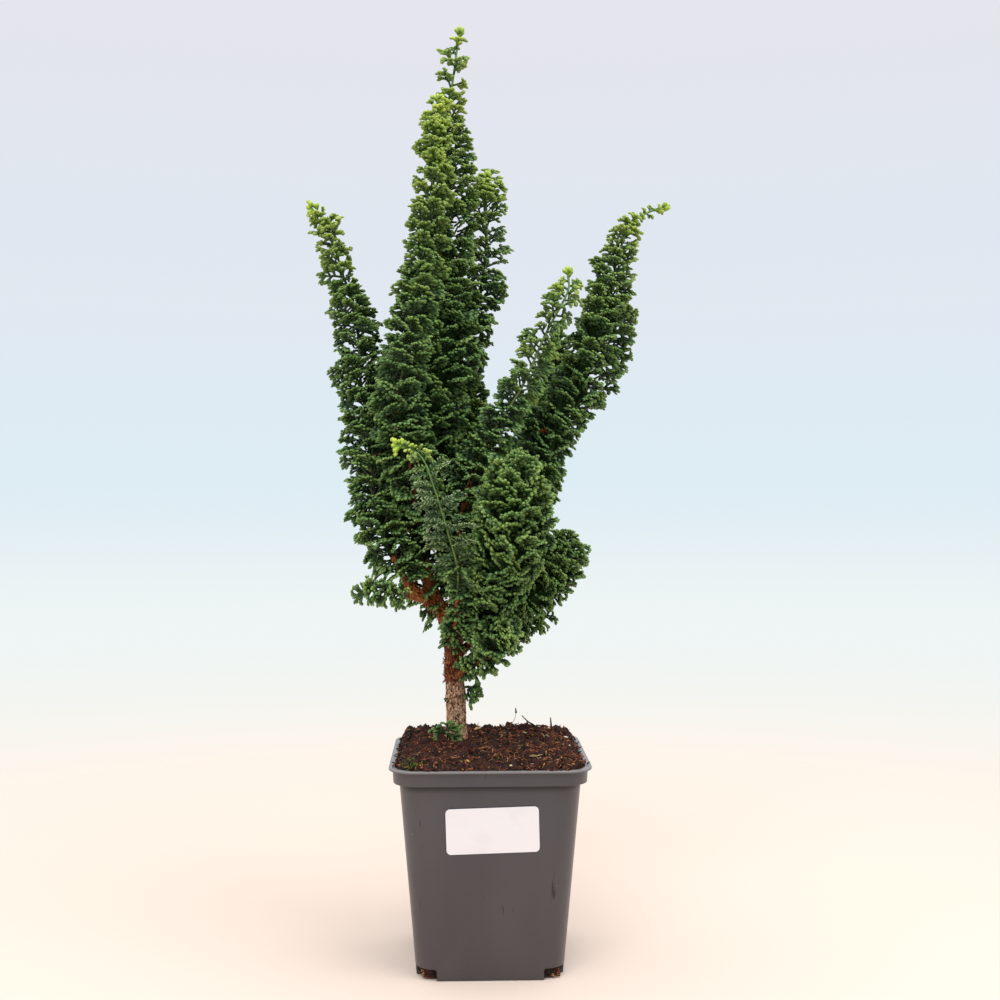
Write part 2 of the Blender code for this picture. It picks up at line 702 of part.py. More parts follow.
def grow_fans(nodes, wood):
    """Fans for every node, in a spiral from its start to its tip."""
    for order, node in enumerate(nodes):
        draw = random.Random(SEED + order)
        others = [wood] + [other for other in nodes if other is not node]
        distance, bearing = node.gap * 0.4, 70.0 * order
        while distance < node.length - node.gap * 0.3:
            node.add_fan(distance, bearing, profile(node.pitches, distance / node.length), draw, others)
            distance += node.gap * draw.uniform(0.85, 1.15)
            bearing += GOLDEN_TURN
        if node.at_tip:
            node.add_fan(node.length - 1.0, bearing, TIP_PITCH, draw, others)


def build_foliage(nodes):
    """Each green node as one solid, with a plain hole where the wood runs in it."""
    for node in nodes:
        body = fuse(node.name, node.shapes, node.finish)
        core = surface(node.shapes[0])
        for branch in ["trunk", *BRANCHES]:
            shape = branch_tube(branch, GAP)
            if core.overlap(surface(shape)):
                apply_boolean(body, "DIFFERENCE", cutter=mesh_object("hole", shape))


def no_wood(distance):
    """The wood inside a sprout's stem: none, at any distance."""
    return 0.0


def plan_sprouts(leaf):
    """The small sprouts low on the trunk."""
    nodes = []
    for name, (start, end, reach, count) in SPROUTS.items():
        path = [Vector(start), Vector(end)]
        gap = line_length(path) / count
        reaches = [reach * SPROUT_SIDE] * 2
        radii = [SPROUT_STEM_RADIUS] * 2
        nodes.append(Foliage(name, path, radii, no_wood, reaches, SPROUT_PITCH, gap, True, leaf))
    return nodes


def main():
    """Builds the plant in an empty scene."""
    for old in list(bpy.data.objects):
        bpy.data.objects.remove(old)
    leaf = material("leaf_green", LEAF_GREEN, 0.55)
    young = material("young_green", YOUNG_GREEN, 0.5)
    bark = material("bark_brown", BARK_BROWN, 0.9)
    build_pot(material("pot_grey", POT_GREY, 0.5))
    build_label(material("label_white", LABEL_WHITE, 0.45))
    wood = fuse("wood", wood_shapes() + [branch_tube(name) for name in BRANCHES], bark)
    hole = fuse("hole", wood_shapes(GAP), bark)
    soil = build_soil(material("soil_brown", SOIL_BROWN, 1.0), hole)
    nodes = plan_shoots(leaf, young) + plan_sprouts(leaf)
    grow_fans(nodes, Wood([wood, soil]))
    build_foliage(nodes)


main()
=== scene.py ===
"""Looks of a young hinoki cypress bonsai in a square nursery pot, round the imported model.

The frame is the pot's: the origin is the centre of its underside, +Z up, -Y to the front, where
the label is. Sizes are millimetres, and MM turns them into Blender's metres.
"""

import logging
import math
from dataclasses import dataclass, field
from enum import Enum
from functools import partial
from typing import Callable, Iterable, Sequence

import bpy
import numpy as np
from bpy.types import Material, Node, NodeTree, Object
from mathutils import Matrix, Vector, noise


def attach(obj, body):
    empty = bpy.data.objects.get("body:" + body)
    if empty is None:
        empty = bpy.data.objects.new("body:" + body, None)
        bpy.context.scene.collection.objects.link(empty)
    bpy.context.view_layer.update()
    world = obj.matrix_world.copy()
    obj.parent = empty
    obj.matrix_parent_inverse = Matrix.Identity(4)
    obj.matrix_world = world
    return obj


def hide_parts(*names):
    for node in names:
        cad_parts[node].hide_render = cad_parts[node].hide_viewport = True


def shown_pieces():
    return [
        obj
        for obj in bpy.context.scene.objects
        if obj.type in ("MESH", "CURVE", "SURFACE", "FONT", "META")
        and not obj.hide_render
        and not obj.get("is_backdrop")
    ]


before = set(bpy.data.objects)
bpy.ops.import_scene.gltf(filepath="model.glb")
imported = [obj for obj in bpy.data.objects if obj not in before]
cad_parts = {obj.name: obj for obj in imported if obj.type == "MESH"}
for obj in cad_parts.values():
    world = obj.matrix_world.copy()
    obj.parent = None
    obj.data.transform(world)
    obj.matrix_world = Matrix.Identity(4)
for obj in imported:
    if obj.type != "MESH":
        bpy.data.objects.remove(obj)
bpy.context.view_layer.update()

MM = 0.001
# A part's random source is the seed and a number: a plume's place in its list, or one of these.
SEED = 23
SPROUTS_FROM = 40
SOIL = 500
WOOD = 900
Array = np.ndarray
Pair = tuple[float, float]
Point = tuple[float, float, float]
log = logging.getLogger("hinoki")


# Colour and node helpers


def linear(code: str) -> tuple[float, float, float, float]:
    """Turns an sRGB hex colour into linear values.

    Args:
        code: six hex digits after a number sign.

    Returns:
        Red, green and blue in linear light, and an alpha of 1.
    """
    parts = [int(code[i:i + 2], 16) / 255 for i in (1, 3, 5)]
    rgb = [c / 12.92 if c <= 0.04045 else ((c + 0.055) / 1.055) ** 2.4 for c in parts]
    return rgb[0], rgb[1], rgb[2], 1.0


def add_node(tree: NodeTree, kind: str, settings: dict | None = None, links: dict | None = None) -> Node:
    """Adds a node with its settings and links.

    Args:
        tree: the node tree it goes into.
        kind: the node's type name, after the words ShaderNode.
        settings: values of its properties by name, or of its inputs by name or number. A hex
            colour is turned linear, and a ramp's "stops" are its (place, hex colour) pairs.
        links: what feeds each input, by its name or number: an output socket, or a node, of which
            the first output in use is meant.

    Returns:
        The new node.
    """
    node = tree.nodes.new("ShaderNode" + kind)
    for key, value in (settings or {}).items():
        if key == "stops":
            elements = node.color_ramp.elements
            while len(elements) < len(value):
                elements.new(0.5)
            for element, (place, colour) in zip(elements, value):
                element.position = place
                element.color = linear(colour)
        elif isinstance(key, str) and hasattr(node, key):
            setattr(node, key, value)
        else:
            node.inputs[key].default_value = linear(value) if isinstance(value, str) else value
    for key, source in (links or {}).items():
        if isinstance(source, Node):
            source = next(output for output in source.outputs if output.enabled)
        tree.links.new(source, node.inputs[key])
    return node


def new_material(name: str) -> tuple[Material, Callable[..., Node]]:
    """Starts a material.

    Args:
        name: the finish's plain name.

    Returns:
        The material, and add_node for its empty node tree.
    """
    made = bpy.data.materials.new(name)
    made.use_nodes = True
    made.node_tree.nodes.clear()
    return made, partial(add_node, made.node_tree)


# Modelling helpers


def deselect() -> None:
    """Clears the selection in object mode."""
    if bpy.context.mode != "OBJECT":
        bpy.ops.object.mode_set(mode="OBJECT")
    bpy.ops.object.select_all(action="DESELECT")


def start_shaping() -> Object:
    """Puts the new primitive in edit mode, all of it selected.

    Returns:
        The primitive.
    """
    bpy.ops.object.mode_set(mode="EDIT")
    bpy.ops.mesh.select_all(action="SELECT")
    return bpy.context.object


def extrude_up(rise: float, top: float, grow: Pair) -> None:
    """Extrudes the selected face along Z and scales its new place about the axis.

    Args:
        rise: how far it goes, in metres.
        top: the height where it then is.
        grow: the scale along X and Y.
    """
    bpy.ops.mesh.extrude_region_move(TRANSFORM_OT_translate={"value": (0, 0, rise)})
    bpy.ops.transform.resize(value=(*grow, 1), center_override=(0, 0, top))


def end_shaping(triangles: bool = False) -> None:
    """Turns the faces outwards and leaves edit mode.

    Args:
        triangles: whether the faces are turned into triangles.
    """
    bpy.ops.mesh.select_all(action="SELECT")
    if triangles:
        bpy.ops.mesh.quads_convert_to_tris()
    bpy.ops.mesh.normals_make_consistent(inside=False)
    bpy.ops.object.mode_set(mode="OBJECT")


def apply_modifier(piece: Object, kind: str, settings: dict) -> None:
    """Adds a modifier to a piece and applies it.

    Args:
        piece: the object, which becomes the active one.
        kind: the modifier's type name.
        settings: its properties by name.
    """
    deselect()
    piece.select_set(True)
    bpy.context.view_layer.objects.active = piece
    step = piece.modifiers.new(kind.lower(), kind)
    for key, value in settings.items():
        setattr(step, key, value)
    bpy.ops.object.modifier_apply(modifier=step.name)


def raise_stations(sides: int, stations: Sequence[Point], apex: float | None = None,
                   phase: float = 0.0) -> Object:
    """Models a closed form by extruding a flat ring from station to station.

    Args:
        sides: how many corners the ring has.
        stations: (height, half width along X, half width along Y) in rising order, in Blender units.
        apex: height at which the last ring closes in a point, or None for a flat end.
        phase: degrees the ring is turned.

    Returns:
        The object, in object mode.
    """
    deselect()
    height, wide, deep = stations[0]
    centre = (0, 0, height)
    bpy.ops.mesh.primitive_circle_add(vertices=sides, radius=1.0, fill_type="NGON", location=centre)
    made = start_shaping()
    bpy.ops.transform.rotate(value=math.radians(phase), orient_axis="Z", center_override=centre)
    bpy.ops.transform.resize(value=(wide, deep, 1), center_override=centre)
    for top, next_wide, next_deep in stations[1:]:
        extrude_up(top - height, top, (next_wide / wide, next_deep / deep))
        height, wide, deep = top, next_wide, next_deep
    if apex is not None:
        bpy.ops.mesh.extrude_region_move(TRANSFORM_OT_translate={"value": (0, 0, apex - height)})
        bpy.ops.mesh.merge(type="CENTER")
    end_shaping(triangles=True)
    return made


def take_mesh(made: Object) -> tuple[Array, Array]:
    """Takes the points and triangles of an object and removes the object.

    Args:
        made: the object, at the origin.

    Returns:
        Its points, and the three corners of each triangle.
    """
    mesh = made.data
    points = np.zeros(len(mesh.vertices) * 3)
    mesh.vertices.foreach_get("co", points)
    mesh.calc_loop_triangles()
    corners = np.zeros(len(mesh.loop_triangles) * 3, dtype=np.int32)
    mesh.loop_triangles.foreach_get("vertices", corners)
    bpy.data.objects.remove(made)
    return points.reshape(-1, 3), corners.reshape(-1, 3)


@dataclass
class Shape:
    """Points in millimetres, triangles, and what the materials read at each point."""

    points: Array
    faces: Array
    flow: Array
    marks: dict[str, Array] = field(default_factory=dict)

    def mark(self, name: str, value: float | Array) -> "Shape":
        """Sets a mark on all points and returns the shape."""
        self.marks[name] = np.broadcast_to(np.asarray(value, float), (len(self.points),)).copy()
        return self

    def laid(self, size: float, spot: Array, turn: Array, pull: Array) -> "Shape":
        """A copy in its place, bent more and more towards its tip.

        Args:
            size: the scale.
            spot: where its origin goes.
            turn: 3 by 3 matrix whose columns are its new X, Y and Z.
            pull: the way and the amount that its tip is moved, as a share of its length.

        Returns:
            The copy, with marks of its own.
        """
        run = np.clip(self.points[:, 0] * size, 0, None)
        bend = (run ** 2 / max(float(run.max()), 1.0))[:, None] * pull
        marks = {name: value.copy() for name, value in self.marks.items()}
        return Shape((self.points * size) @ turn.T + spot + bend, self.faces, self.flow, marks)


def merged(shapes: Iterable[Shape]) -> Shape:
    """Joins shapes into one.

    Args:
        shapes: at least one shape. A mark that one of them lacks is 0 there.

    Returns:
        The joined shape.
    """
    shapes = list(shapes)
    starts = np.cumsum([0] + [len(s.points) for s in shapes[:-1]])
    names = sorted({name for s in shapes for name in s.marks})
    marks = {
        name: np.concatenate([s.marks.get(name, np.zeros(len(s.points))) for s in shapes]) for name in names
    }
    return Shape(
        np.concatenate([s.points for s in shapes]),
        np.concatenate([s.faces + start for s, start in zip(shapes, starts)]),
        np.concatenate([s.flow for s in shapes]),
        marks,
    )


def piece_from(name: str, shape: Shape, material: Material) -> Object:
    """Makes a smooth-shaded mesh object of a shape.

    Args:
        name: the piece's name.
        shape: its form, with its place in its points.
        material: its finish.

    Returns:
        The object, at the origin.
    """
    mesh = bpy.data.meshes.new(name)
    count = len(shape.faces)
    corners = shape.faces.astype(np.int32).ravel()
    mesh.vertices.add(len(shape.points))
    mesh.vertices.foreach_set("co", (shape.points * MM).astype(np.float32).ravel())
    mesh.loops.add(3 * count)
    mesh.loops.foreach_set("vertex_index", corners)
    mesh.polygons.add(count)
    mesh.polygons.foreach_set("loop_start", np.arange(0, 3 * count, 3, dtype=np.int32))
    mesh.update(calc_edges=True)
    layer = mesh.uv_layers.new(name="flow")
    layer.data.foreach_set("uv", shape.flow[corners].astype(np.float32).ravel())
    for mark, values in shape.marks.items():
        attribute = mesh.attributes.new(mark, "FLOAT", "POINT")
        attribute.data.foreach_set("value", values.astype(np.float32))
    mesh.shade_smooth()
    mesh.materials.append(material)
    made = bpy.data.objects.new(name, mesh)
    bpy.context.scene.collection.objects.link(made)
    return made


def settle(piece: Object, node: str) -> None:
    """Rides a piece on the plant's one body and what it stands for, and reports it.

    Args:
        piece: the finished object.
        node: the CAD node it replaces.
    """
    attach(piece, "root")
    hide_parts(node)
    log.info("%s: %d faces", piece.name, len(piece.data.polygons))


# Paths and directions


def unit(rows: Array) -> Array:
    """Scales each row to length 1."""
    return rows / np.maximum(np.linalg.norm(rows, axis=-1, keepdims=True), 1e-9)


def level_ways(bearings: Array, rise: float | Array = 0.0) -> Array:
    """Directions at bearings from +X in radians, each with its rise along Z."""
    return np.stack([np.cos(bearings), np.sin(bearings), np.broadcast_to(rise, np.shape(bearings))], axis=-1)


def flat_turn(way: Array, normal: Array) -> Array:
    """The turn that lays a flat form along a way, as its X, with its Z towards the normal."""
    across = unit(np.cross(normal, way))
    return np.stack([way, across, np.cross(way, across)], axis=1)


def turned(rows: Array, axes: Array, degrees: Array) -> Array:
    """Turns each row about its unit axis.

    Args:
        rows: vectors, one per row.
        axes: unit axes, one per row.
        degrees: how far each is turned.

    Returns:
        The turned vectors.
    """
    a = np.radians(degrees)[..., None]
    return (rows * np.cos(a) + np.cross(axes, rows) * np.sin(a)
            + axes * np.sum(rows * axes, axis=-1, keepdims=True) * (1 - np.cos(a)))


def profile(values: Sequence[float], shares: Array) -> Array:
    """Reads evenly spaced values at shares from 0 to 1."""
    return np.interp(shares, np.linspace(0, 1, len(values)), values)


def smooth_path(points: Sequence[Sequence[float]], step: float) -> Array:
    """Points about a step apart on a smooth curve through waypoints.

    Args:
        points: the waypoints.
        step: the distance wanted between points.

    Returns:
        The curve's points, one per row.
    """
    spots = np.asarray(points, float)
    ends = np.vstack([2 * spots[0] - spots[1], spots, 2 * spots[-1] - spots[-2]])
    rows = []
    for before, here, there, after in zip(ends, ends[1:], ends[2:], ends[3:]):
        t = np.linspace(0, 1, max(1, round(np.linalg.norm(there - here) / step)), endpoint=False)[:, None]
        rows.append(0.5 * (2 * here + (there - before) * t
                           + (2 * before - 5 * here + 4 * there - after) * t * t
                           + (3 * here - before - 3 * there + after) * t ** 3))
    return np.vstack(rows + [spots[-1:]])


def runs(path: Array) -> Array:
    """How far along a path each of its points is."""
    return np.concatenate([[0.0], np.cumsum(np.linalg.norm(np.diff(path, axis=0), axis=1))])


def along(path: Array, distances: Array) -> tuple[Array, Array]:
    """Points and directions at distances along a path.

    Args:
        path: the path's points.
        distances: how far along it, for each point wanted.

    Returns:
        The points and the unit directions, one per row.
    """
    run = runs(path)
    slopes = unit(np.gradient(path, run, axis=0))
    spots, ways = (np.stack([np.interp(distances, run, rows[:, i]) for i in range(3)], axis=-1)
                   for rows in (path, slopes))
    return spots, unit(ways)


def frames_along(path: Array) -> tuple[Array, Array]:
    """Two unit vectors across a path at each of its points, which don't twist along it.

    Args:
        path: the path's points.

    Returns:
        The first and the second vectors, one per row.
    """
    ways = unit(np.gradient(path, axis=0))
    side = np.array([0.0, -1.0, 0.0]) if abs(ways[0][1]) < 0.9 else np.array([1.0, 0.0, 0.0])
    first = []
    for way in ways:
        side = side - way * side.dot(way)
        side = side / np.linalg.norm(side)
        first.append(side)
    first = np.array(first)
    return first, np.cross(ways, first)


RIDGES = (0.8, 2.2, 3)


def limb(path: Array, radii: Array, sides: int, relief: float = 0.0,
         grain: Pair = (0.5, 0.08), seed: float = 0.0) -> Shape:
    """A closed tube along a path, with ridges that run along it.

    Args:
        path: the middle line's points.
        radii: the radius at each of them.
        sides: how many points go round it.
        relief: how high the ridges stand, as a share of the radius.
        grain: how often the ridges change across and along, per millimetre.
        seed: shifts the ridges' pattern.

    Returns:
        The tube, its flow counted round and along it.
    """
    first, second = frames_along(path)
    run = runs(path)
    angles = np.linspace(0, 2 * math.pi, sides, endpoint=False)
    outs = np.cos(angles)[None, :, None] * first[:, None] + np.sin(angles)[None, :, None] * second[:, None]
    reach = np.repeat(np.asarray(radii, float)[:, None], sides, axis=1)
    if relief:
        for i, (radius, place) in enumerate(zip(radii, run)):
            for k, angle in enumerate(angles):
                spot = Vector((math.cos(angle) * radius * grain[0] + seed,
                               math.sin(angle) * radius * grain[0], place * grain[1]))
                reach[i, k] += relief * radius * noise.fractal(spot, *RIDGES)
    points = path[:, None] + outs * reach[..., None]
    count = len(path)
    ring = np.arange(sides)
    next_ring = (ring + 1) % sides
    low, low_next = ((np.arange(count - 1)[:, None] * sides + r).ravel() for r in (ring, next_ring))
    last = (count - 1) * sides
    faces = np.concatenate([
        np.stack([low, low_next, low_next + sides], axis=1),
        np.stack([low, low_next + sides, low + sides], axis=1),
        np.stack([np.full(sides, count * sides), next_ring, ring], axis=1),
        np.stack([np.full(sides, count * sides + 1), ring + last, next_ring + last], axis=1),
    ])
    flow = np.stack([np.broadcast_to(angles * np.mean(radii), (count, sides)),
                     np.broadcast_to(run[:, None], (count, sides))], axis=-1).reshape(-1, 2)
    points = np.vstack([points.reshape(-1, 3), path[0], path[-1]])
    return Shape(points, faces, np.vstack([flow, [0, 0], [0, run[-1]]]))


# Masters: what repeats is modelled once, along +X, and copied


class Master:
    """A small form modelled once, 1 long, 1 wide and 1 thick, whose copies get sizes of their own."""

    def __init__(self, made: Object) -> None:
        """Takes the points of an object that stands along +Z and removes the object.

        Args:
            made: the object, a closed mesh of triangles.
        """
        upright, self.faces = take_mesh(made)
        self.points = np.stack([upright[:, 2], upright[:, 0], -upright[:, 1]], axis=1)
        a, b, c = (self.points[self.faces[:, i]] for i in range(3))
        if np.sum(np.cross(a, b) * c) < 0:
            self.faces = self.faces[:, ::-1]

    def copies(self, spots: Array, ways: Array, normals: Array, sizes: Array) -> Shape:
        """Copies of the form.

        Args:
            spots: where each copy's foot goes.
            ways: the unit direction each one points.
            normals: roughly the way each one's flat face looks.
            sizes: length, width and thickness of each.

        Returns:
            One shape of them all, with the mark `tip` from 0 at each foot to 1 at its end and the
            mark `under` 1 on the side that the normal points away from.
        """
        spots, ways, normals, sizes = (np.asarray(v, float) for v in (spots, ways, normals, sizes))
        across = unit(np.cross(normals, ways))
        ups = np.cross(ways, across)
        x, y, z = (self.points[None, :, i, None] for i in range(3))
        length, width, thick = (sizes[:, None, i, None] for i in range(3))
        points = (spots[:, None] + ways[:, None] * x * length + across[:, None] * y * width
                  + ups[:, None] * z * thick)
        faces = self.faces[None] + (np.arange(len(spots)) * len(self.points))[:, None, None]
        flow = np.stack(np.broadcast_arrays(y[..., 0] * width[..., 0], x[..., 0] * length[..., 0]), axis=-1)
        shape = Shape(points.reshape(-1, 3), faces.reshape(-1, 3), flow.reshape(-1, 2))
        shape.mark("tip", np.tile(np.clip(self.points[:, 0], 0, 1), len(spots)))
        return shape.mark("under", np.tile((self.points[:, 2] < -0.01).astype(float), len(spots)))

    def each(self, values: Array) -> Array:
        """Spreads a value for each copy over all of its points."""
        return np.repeat(values, len(self.points))


def branchlet_master() -> Master:
    """A blunt twig tip covered in scale leaves: keeled, widest past its middle, round at its end."""
    return Master(raise_stations(4, [(0.0, 0.32, 0.36), (0.76, 0.50, 0.48)], apex=1.0))


def twig_master() -> Master:
    """A stretch of green twig between two forks: keeled, with flat ends inside its neighbours."""
    return Master(raise_stations(3, [(0.0, 0.52, 0.52), (1.0, 0.54, 0.54)], phase=90.0))


def sliver_master() -> Master:
    """A torn strip of bark, thin and tapering."""
    return Master(raise_stations(4, [(0.0, 0.36, 0.5), (0.45, 0.5, 0.5)], apex=1.0, phase=45.0))


def crumb_master() -> Master:
    """A lump of soil or grit, five-sided and lopsided."""
    return Master(raise_stations(5, [(0.0, 0.26, 0.30), (0.5, 0.5, 0.44)], apex=1.0))


# Foliage


class Habit(Enum):
    """How a spray grows: broad and blunt, slender like a fern, or the loose young end of a shoot."""

    BLUNT = "blunt"
    FERNY = "ferny"
    YOUNG = "young"


@dataclass(frozen=True)
class SprayPattern:
    """Sizes of a flat spray, in millimetres, degrees and shares of its length.

    `spacing` is between side twigs on one side and `first` where they start, `angle_foot` and
    `angle_tip` their bearings at the spray's foot and tip, `side_share` the longest one's length.
    `outer_spacing` and `outer_length` are those of the tips on a side twig. `curl` is how far free
    tips bend up, and `waver` how much bearings differ.
    """

    spacing: float
    first: float
    angle_foot: float
    angle_tip: float
    side_share: float
    outer_spacing: float
    outer_length: float
    tip_width: float
    twig_width: float
    thickness: float
    curl: float
    waver: float


PATTERNS = {
    Habit.BLUNT: SprayPattern(
        spacing=3.4, first=0.28, angle_foot=54, angle_tip=38, side_share=0.46, outer_spacing=3.4,
        outer_length=4.0, tip_width=2.35, twig_width=1.4, thickness=1.7, curl=20, waver=8),
    Habit.FERNY: SprayPattern(
        spacing=2.2, first=0.10, angle_foot=52, angle_tip=40, side_share=0.19, outer_spacing=3.0,
        outer_length=2.2, tip_width=1.05, twig_width=0.9, thickness=0.9, curl=8, waver=5),
    Habit.YOUNG: SprayPattern(
        spacing=3.8, first=0.24, angle_foot=56, angle_tip=42, side_share=0.44, outer_spacing=3.6,
        outer_length=3.7, tip_width=2.8, twig_width=1.4, thickness=2.2, curl=26, waver=10),
}


class Spray:
    """A flat spray of branchlets, grown in the plane of X and Y from the origin along +X."""

    LONGEST_PIECE = 7.0
    LEAST_PIECE = 0.8
    OVERLAP = 0.7
    TIP_SHARE = 1.25
    BARE_END = 1.8
    SIDE_ROOM = (0.62, 2.4)
    SIDE_BASE = 1.2
    OUTER_ROOM = (0.6, 2.0)
    OUTER_TURN = 46
    OUTER_STEP = 0.62
    UNEVEN = (0.85, 1.15)

    def __init__(self, length: float, habit: Habit, branchlet: Master, twig: Master,
                 draw: np.random.Generator) -> None:
        """Grows the spray.

        Args:
            length: from its foot to its tip.
            habit: how it grows.
            branchlet: the master of its free tips.
            twig: the master of the twigs between forks.
            draw: the random source.
        """
        self.length = length
        self.pattern = PATTERNS[habit]
        self.draw = draw
        self.twigs: list[tuple[float, float, float, float, bool]] = []
        self.grow()
        self.shape = merged([self.build(branchlet, True), self.build(twig, False)])

    def add_twig(self, x: float, y: float, bearing: float, length: float) -> None:
        """Adds one twig as a chain of pieces, of which the last is a free tip.

        Args:
            x: its foot's place along the spray.
            y: its foot's place across the spray.
            bearing: its direction in degrees from +X.
            length: its length.
        """
        tip = min(length, self.pattern.outer_length * self.TIP_SHARE)
        pieces = math.ceil((length - tip) / self.LONGEST_PIECE) if length - tip > self.LEAST_PIECE else 0
        part = (length - tip) / max(1, pieces)
        across, ahead = math.sin(math.radians(bearing)), math.cos(math.radians(bearing))
        for _ in range(pieces):
            self.twigs.append((x, y, bearing, part + self.OVERLAP, False))
            x, y = x + part * ahead, y + part * across
        self.twigs.append((x, y, bearing, tip if pieces else length, True))

    def grow(self) -> None:
        """Lays out the axis, the side twigs and the outer tips."""
        plan, draw = self.pattern, self.draw
        self.add_twig(0.0, 0.0, 0.0, self.length)
        for hand in (-1, 1):
            x = self.length * plan.first + (0.5 * plan.spacing if hand > 0 else 0.0)
            while x < self.length - self.BARE_END:
                share = x / self.length
                bearing = plan.angle_foot + (plan.angle_tip - plan.angle_foot) * share
                bearing += draw.normal(0, plan.waver)
                room = (self.length - x) * self.SIDE_ROOM[0] + self.SIDE_ROOM[1]
                side = min(room, plan.side_share * self.length + self.SIDE_BASE) * draw.uniform(0.78, 1.1)
                self.add_twig(x, 0.0, hand * bearing, side)
                self.add_outer(x, hand * bearing, side)
                x += plan.spacing * draw.uniform(*self.UNEVEN)

    def add_outer(self, x: float, bearing: float, side: float) -> None:
        """Adds the tips on a side twig, in turn on its two sides.

        Args:
            x: the side twig's place along the spray.
            bearing: the side twig's direction.
            side: the side twig's length.
        """
        plan, draw = self.pattern, self.draw
        ahead, across = math.cos(math.radians(bearing)), math.sin(math.radians(bearing))
        place, turn = plan.outer_spacing * 0.75, 1
        while place < side - 1.7:
            room = self.OUTER_ROOM[0] * (side - place) + self.OUTER_ROOM[1]
            length = min(plan.outer_length, room) * draw.uniform(*self.UNEVEN)
            away = bearing + turn * (self.OUTER_TURN + draw.normal(0, plan.waver))
            self.add_twig(x + place * ahead, place * across, away, length)
            place += plan.outer_spacing * self.OUTER_STEP * draw.uniform(*self.UNEVEN)
            turn = -turn

    def build(self, master: Master, free: bool) -> Shape:
        """Turns the free tips or the twigs behind them into a shape.

        Args:
            master: what they are made of.
            free: whether it is the tips, which curl up and are lighter; the twigs behind them get painted
                shade.

        Returns:
            Their shape.
        """
        plan, draw = self.pattern, self.draw
        rows = np.array([twig[:4] for twig in self.twigs if twig[4] == free] or [(0, 0, 0, 1.0)])
        x, y, bearing, length = rows.T
        count = len(x)
        lift = draw.normal(0, 4, count) + (plan.curl * draw.uniform(-0.25, 1.0, count) if free else 0.0)
        up = np.array([0.0, 0.0, 1.0])
        ways = level_ways(np.radians(bearing)) * np.cos(np.radians(lift))[:, None]
        ways = ways + up * np.sin(np.radians(lift))[:, None]
        normals = up + draw.normal(0, 0.18, ways.shape)
        width = (plan.tip_width if free else plan.twig_width) * draw.uniform(0.88, 1.12, count)
        thick = np.full(count, plan.thickness * (1.0 if free else 0.7))
        spots = np.stack([x, y, draw.normal(0, 0.2, count)], axis=1)
        shape = master.copies(spots, ways, unit(normals), np.stack([length, width, thick], axis=1))
        # The mark tip is partly painted shade: twigs get dark values, and each tip darkens towards its foot
        # and towards the spray's foot, where less light gets in. The tips' lighter ends are also their real
        # colour.
        tip = shape.marks["tip"]
        reach = 0.5 + 0.5 * np.clip(np.hypot(shape.points[:, 0], shape.points[:, 1]) / self.length, 0, 1)
        shaded = 0.10 + 0.08 * tip + 0.14 * master.each(x / self.length)
        shape.mark("tip", (0.30 + 0.76 * tip) * reach if free else shaded)
        return shape.mark("tone", master.each(draw.uniform(0, 1, count)))


class SprayStore:
    """Sprays of all lengths and habits, grown once."""

    LENGTHS = (7.0, 9.0, 11.5, 14.0, 17.0, 20.5, 25.0)
    VARIANTS = 4

    def __init__(self, branchlet: Master, twig: Master) -> None:
        """Grows the store.

        Args:
            branchlet: the master of the free tips.
            twig: the master of the twigs between forks.
        """
        draw = np.random.default_rng(SEED)
        variants = range(self.VARIANTS)
        self.sprays = {
            (habit, length): [Spray(length, habit, branchlet, twig, draw).shape for _ in variants]
            for habit in Habit for length in self.LENGTHS
        }

    def pick(self, habit: Habit, length: float, draw: np.random.Generator) -> tuple[Shape, float]:
        """A spray near a length.

        Args:
            habit: how it grows.
            length: the length wanted.
            draw: the random source.

        Returns:
            The spray and the scale that gives it the length.
        """
        nearest = min(self.LENGTHS, key=lambda known: abs(math.log(known / length)))
        return self.sprays[habit, nearest][draw.integers(self.VARIANTS)], length / nearest


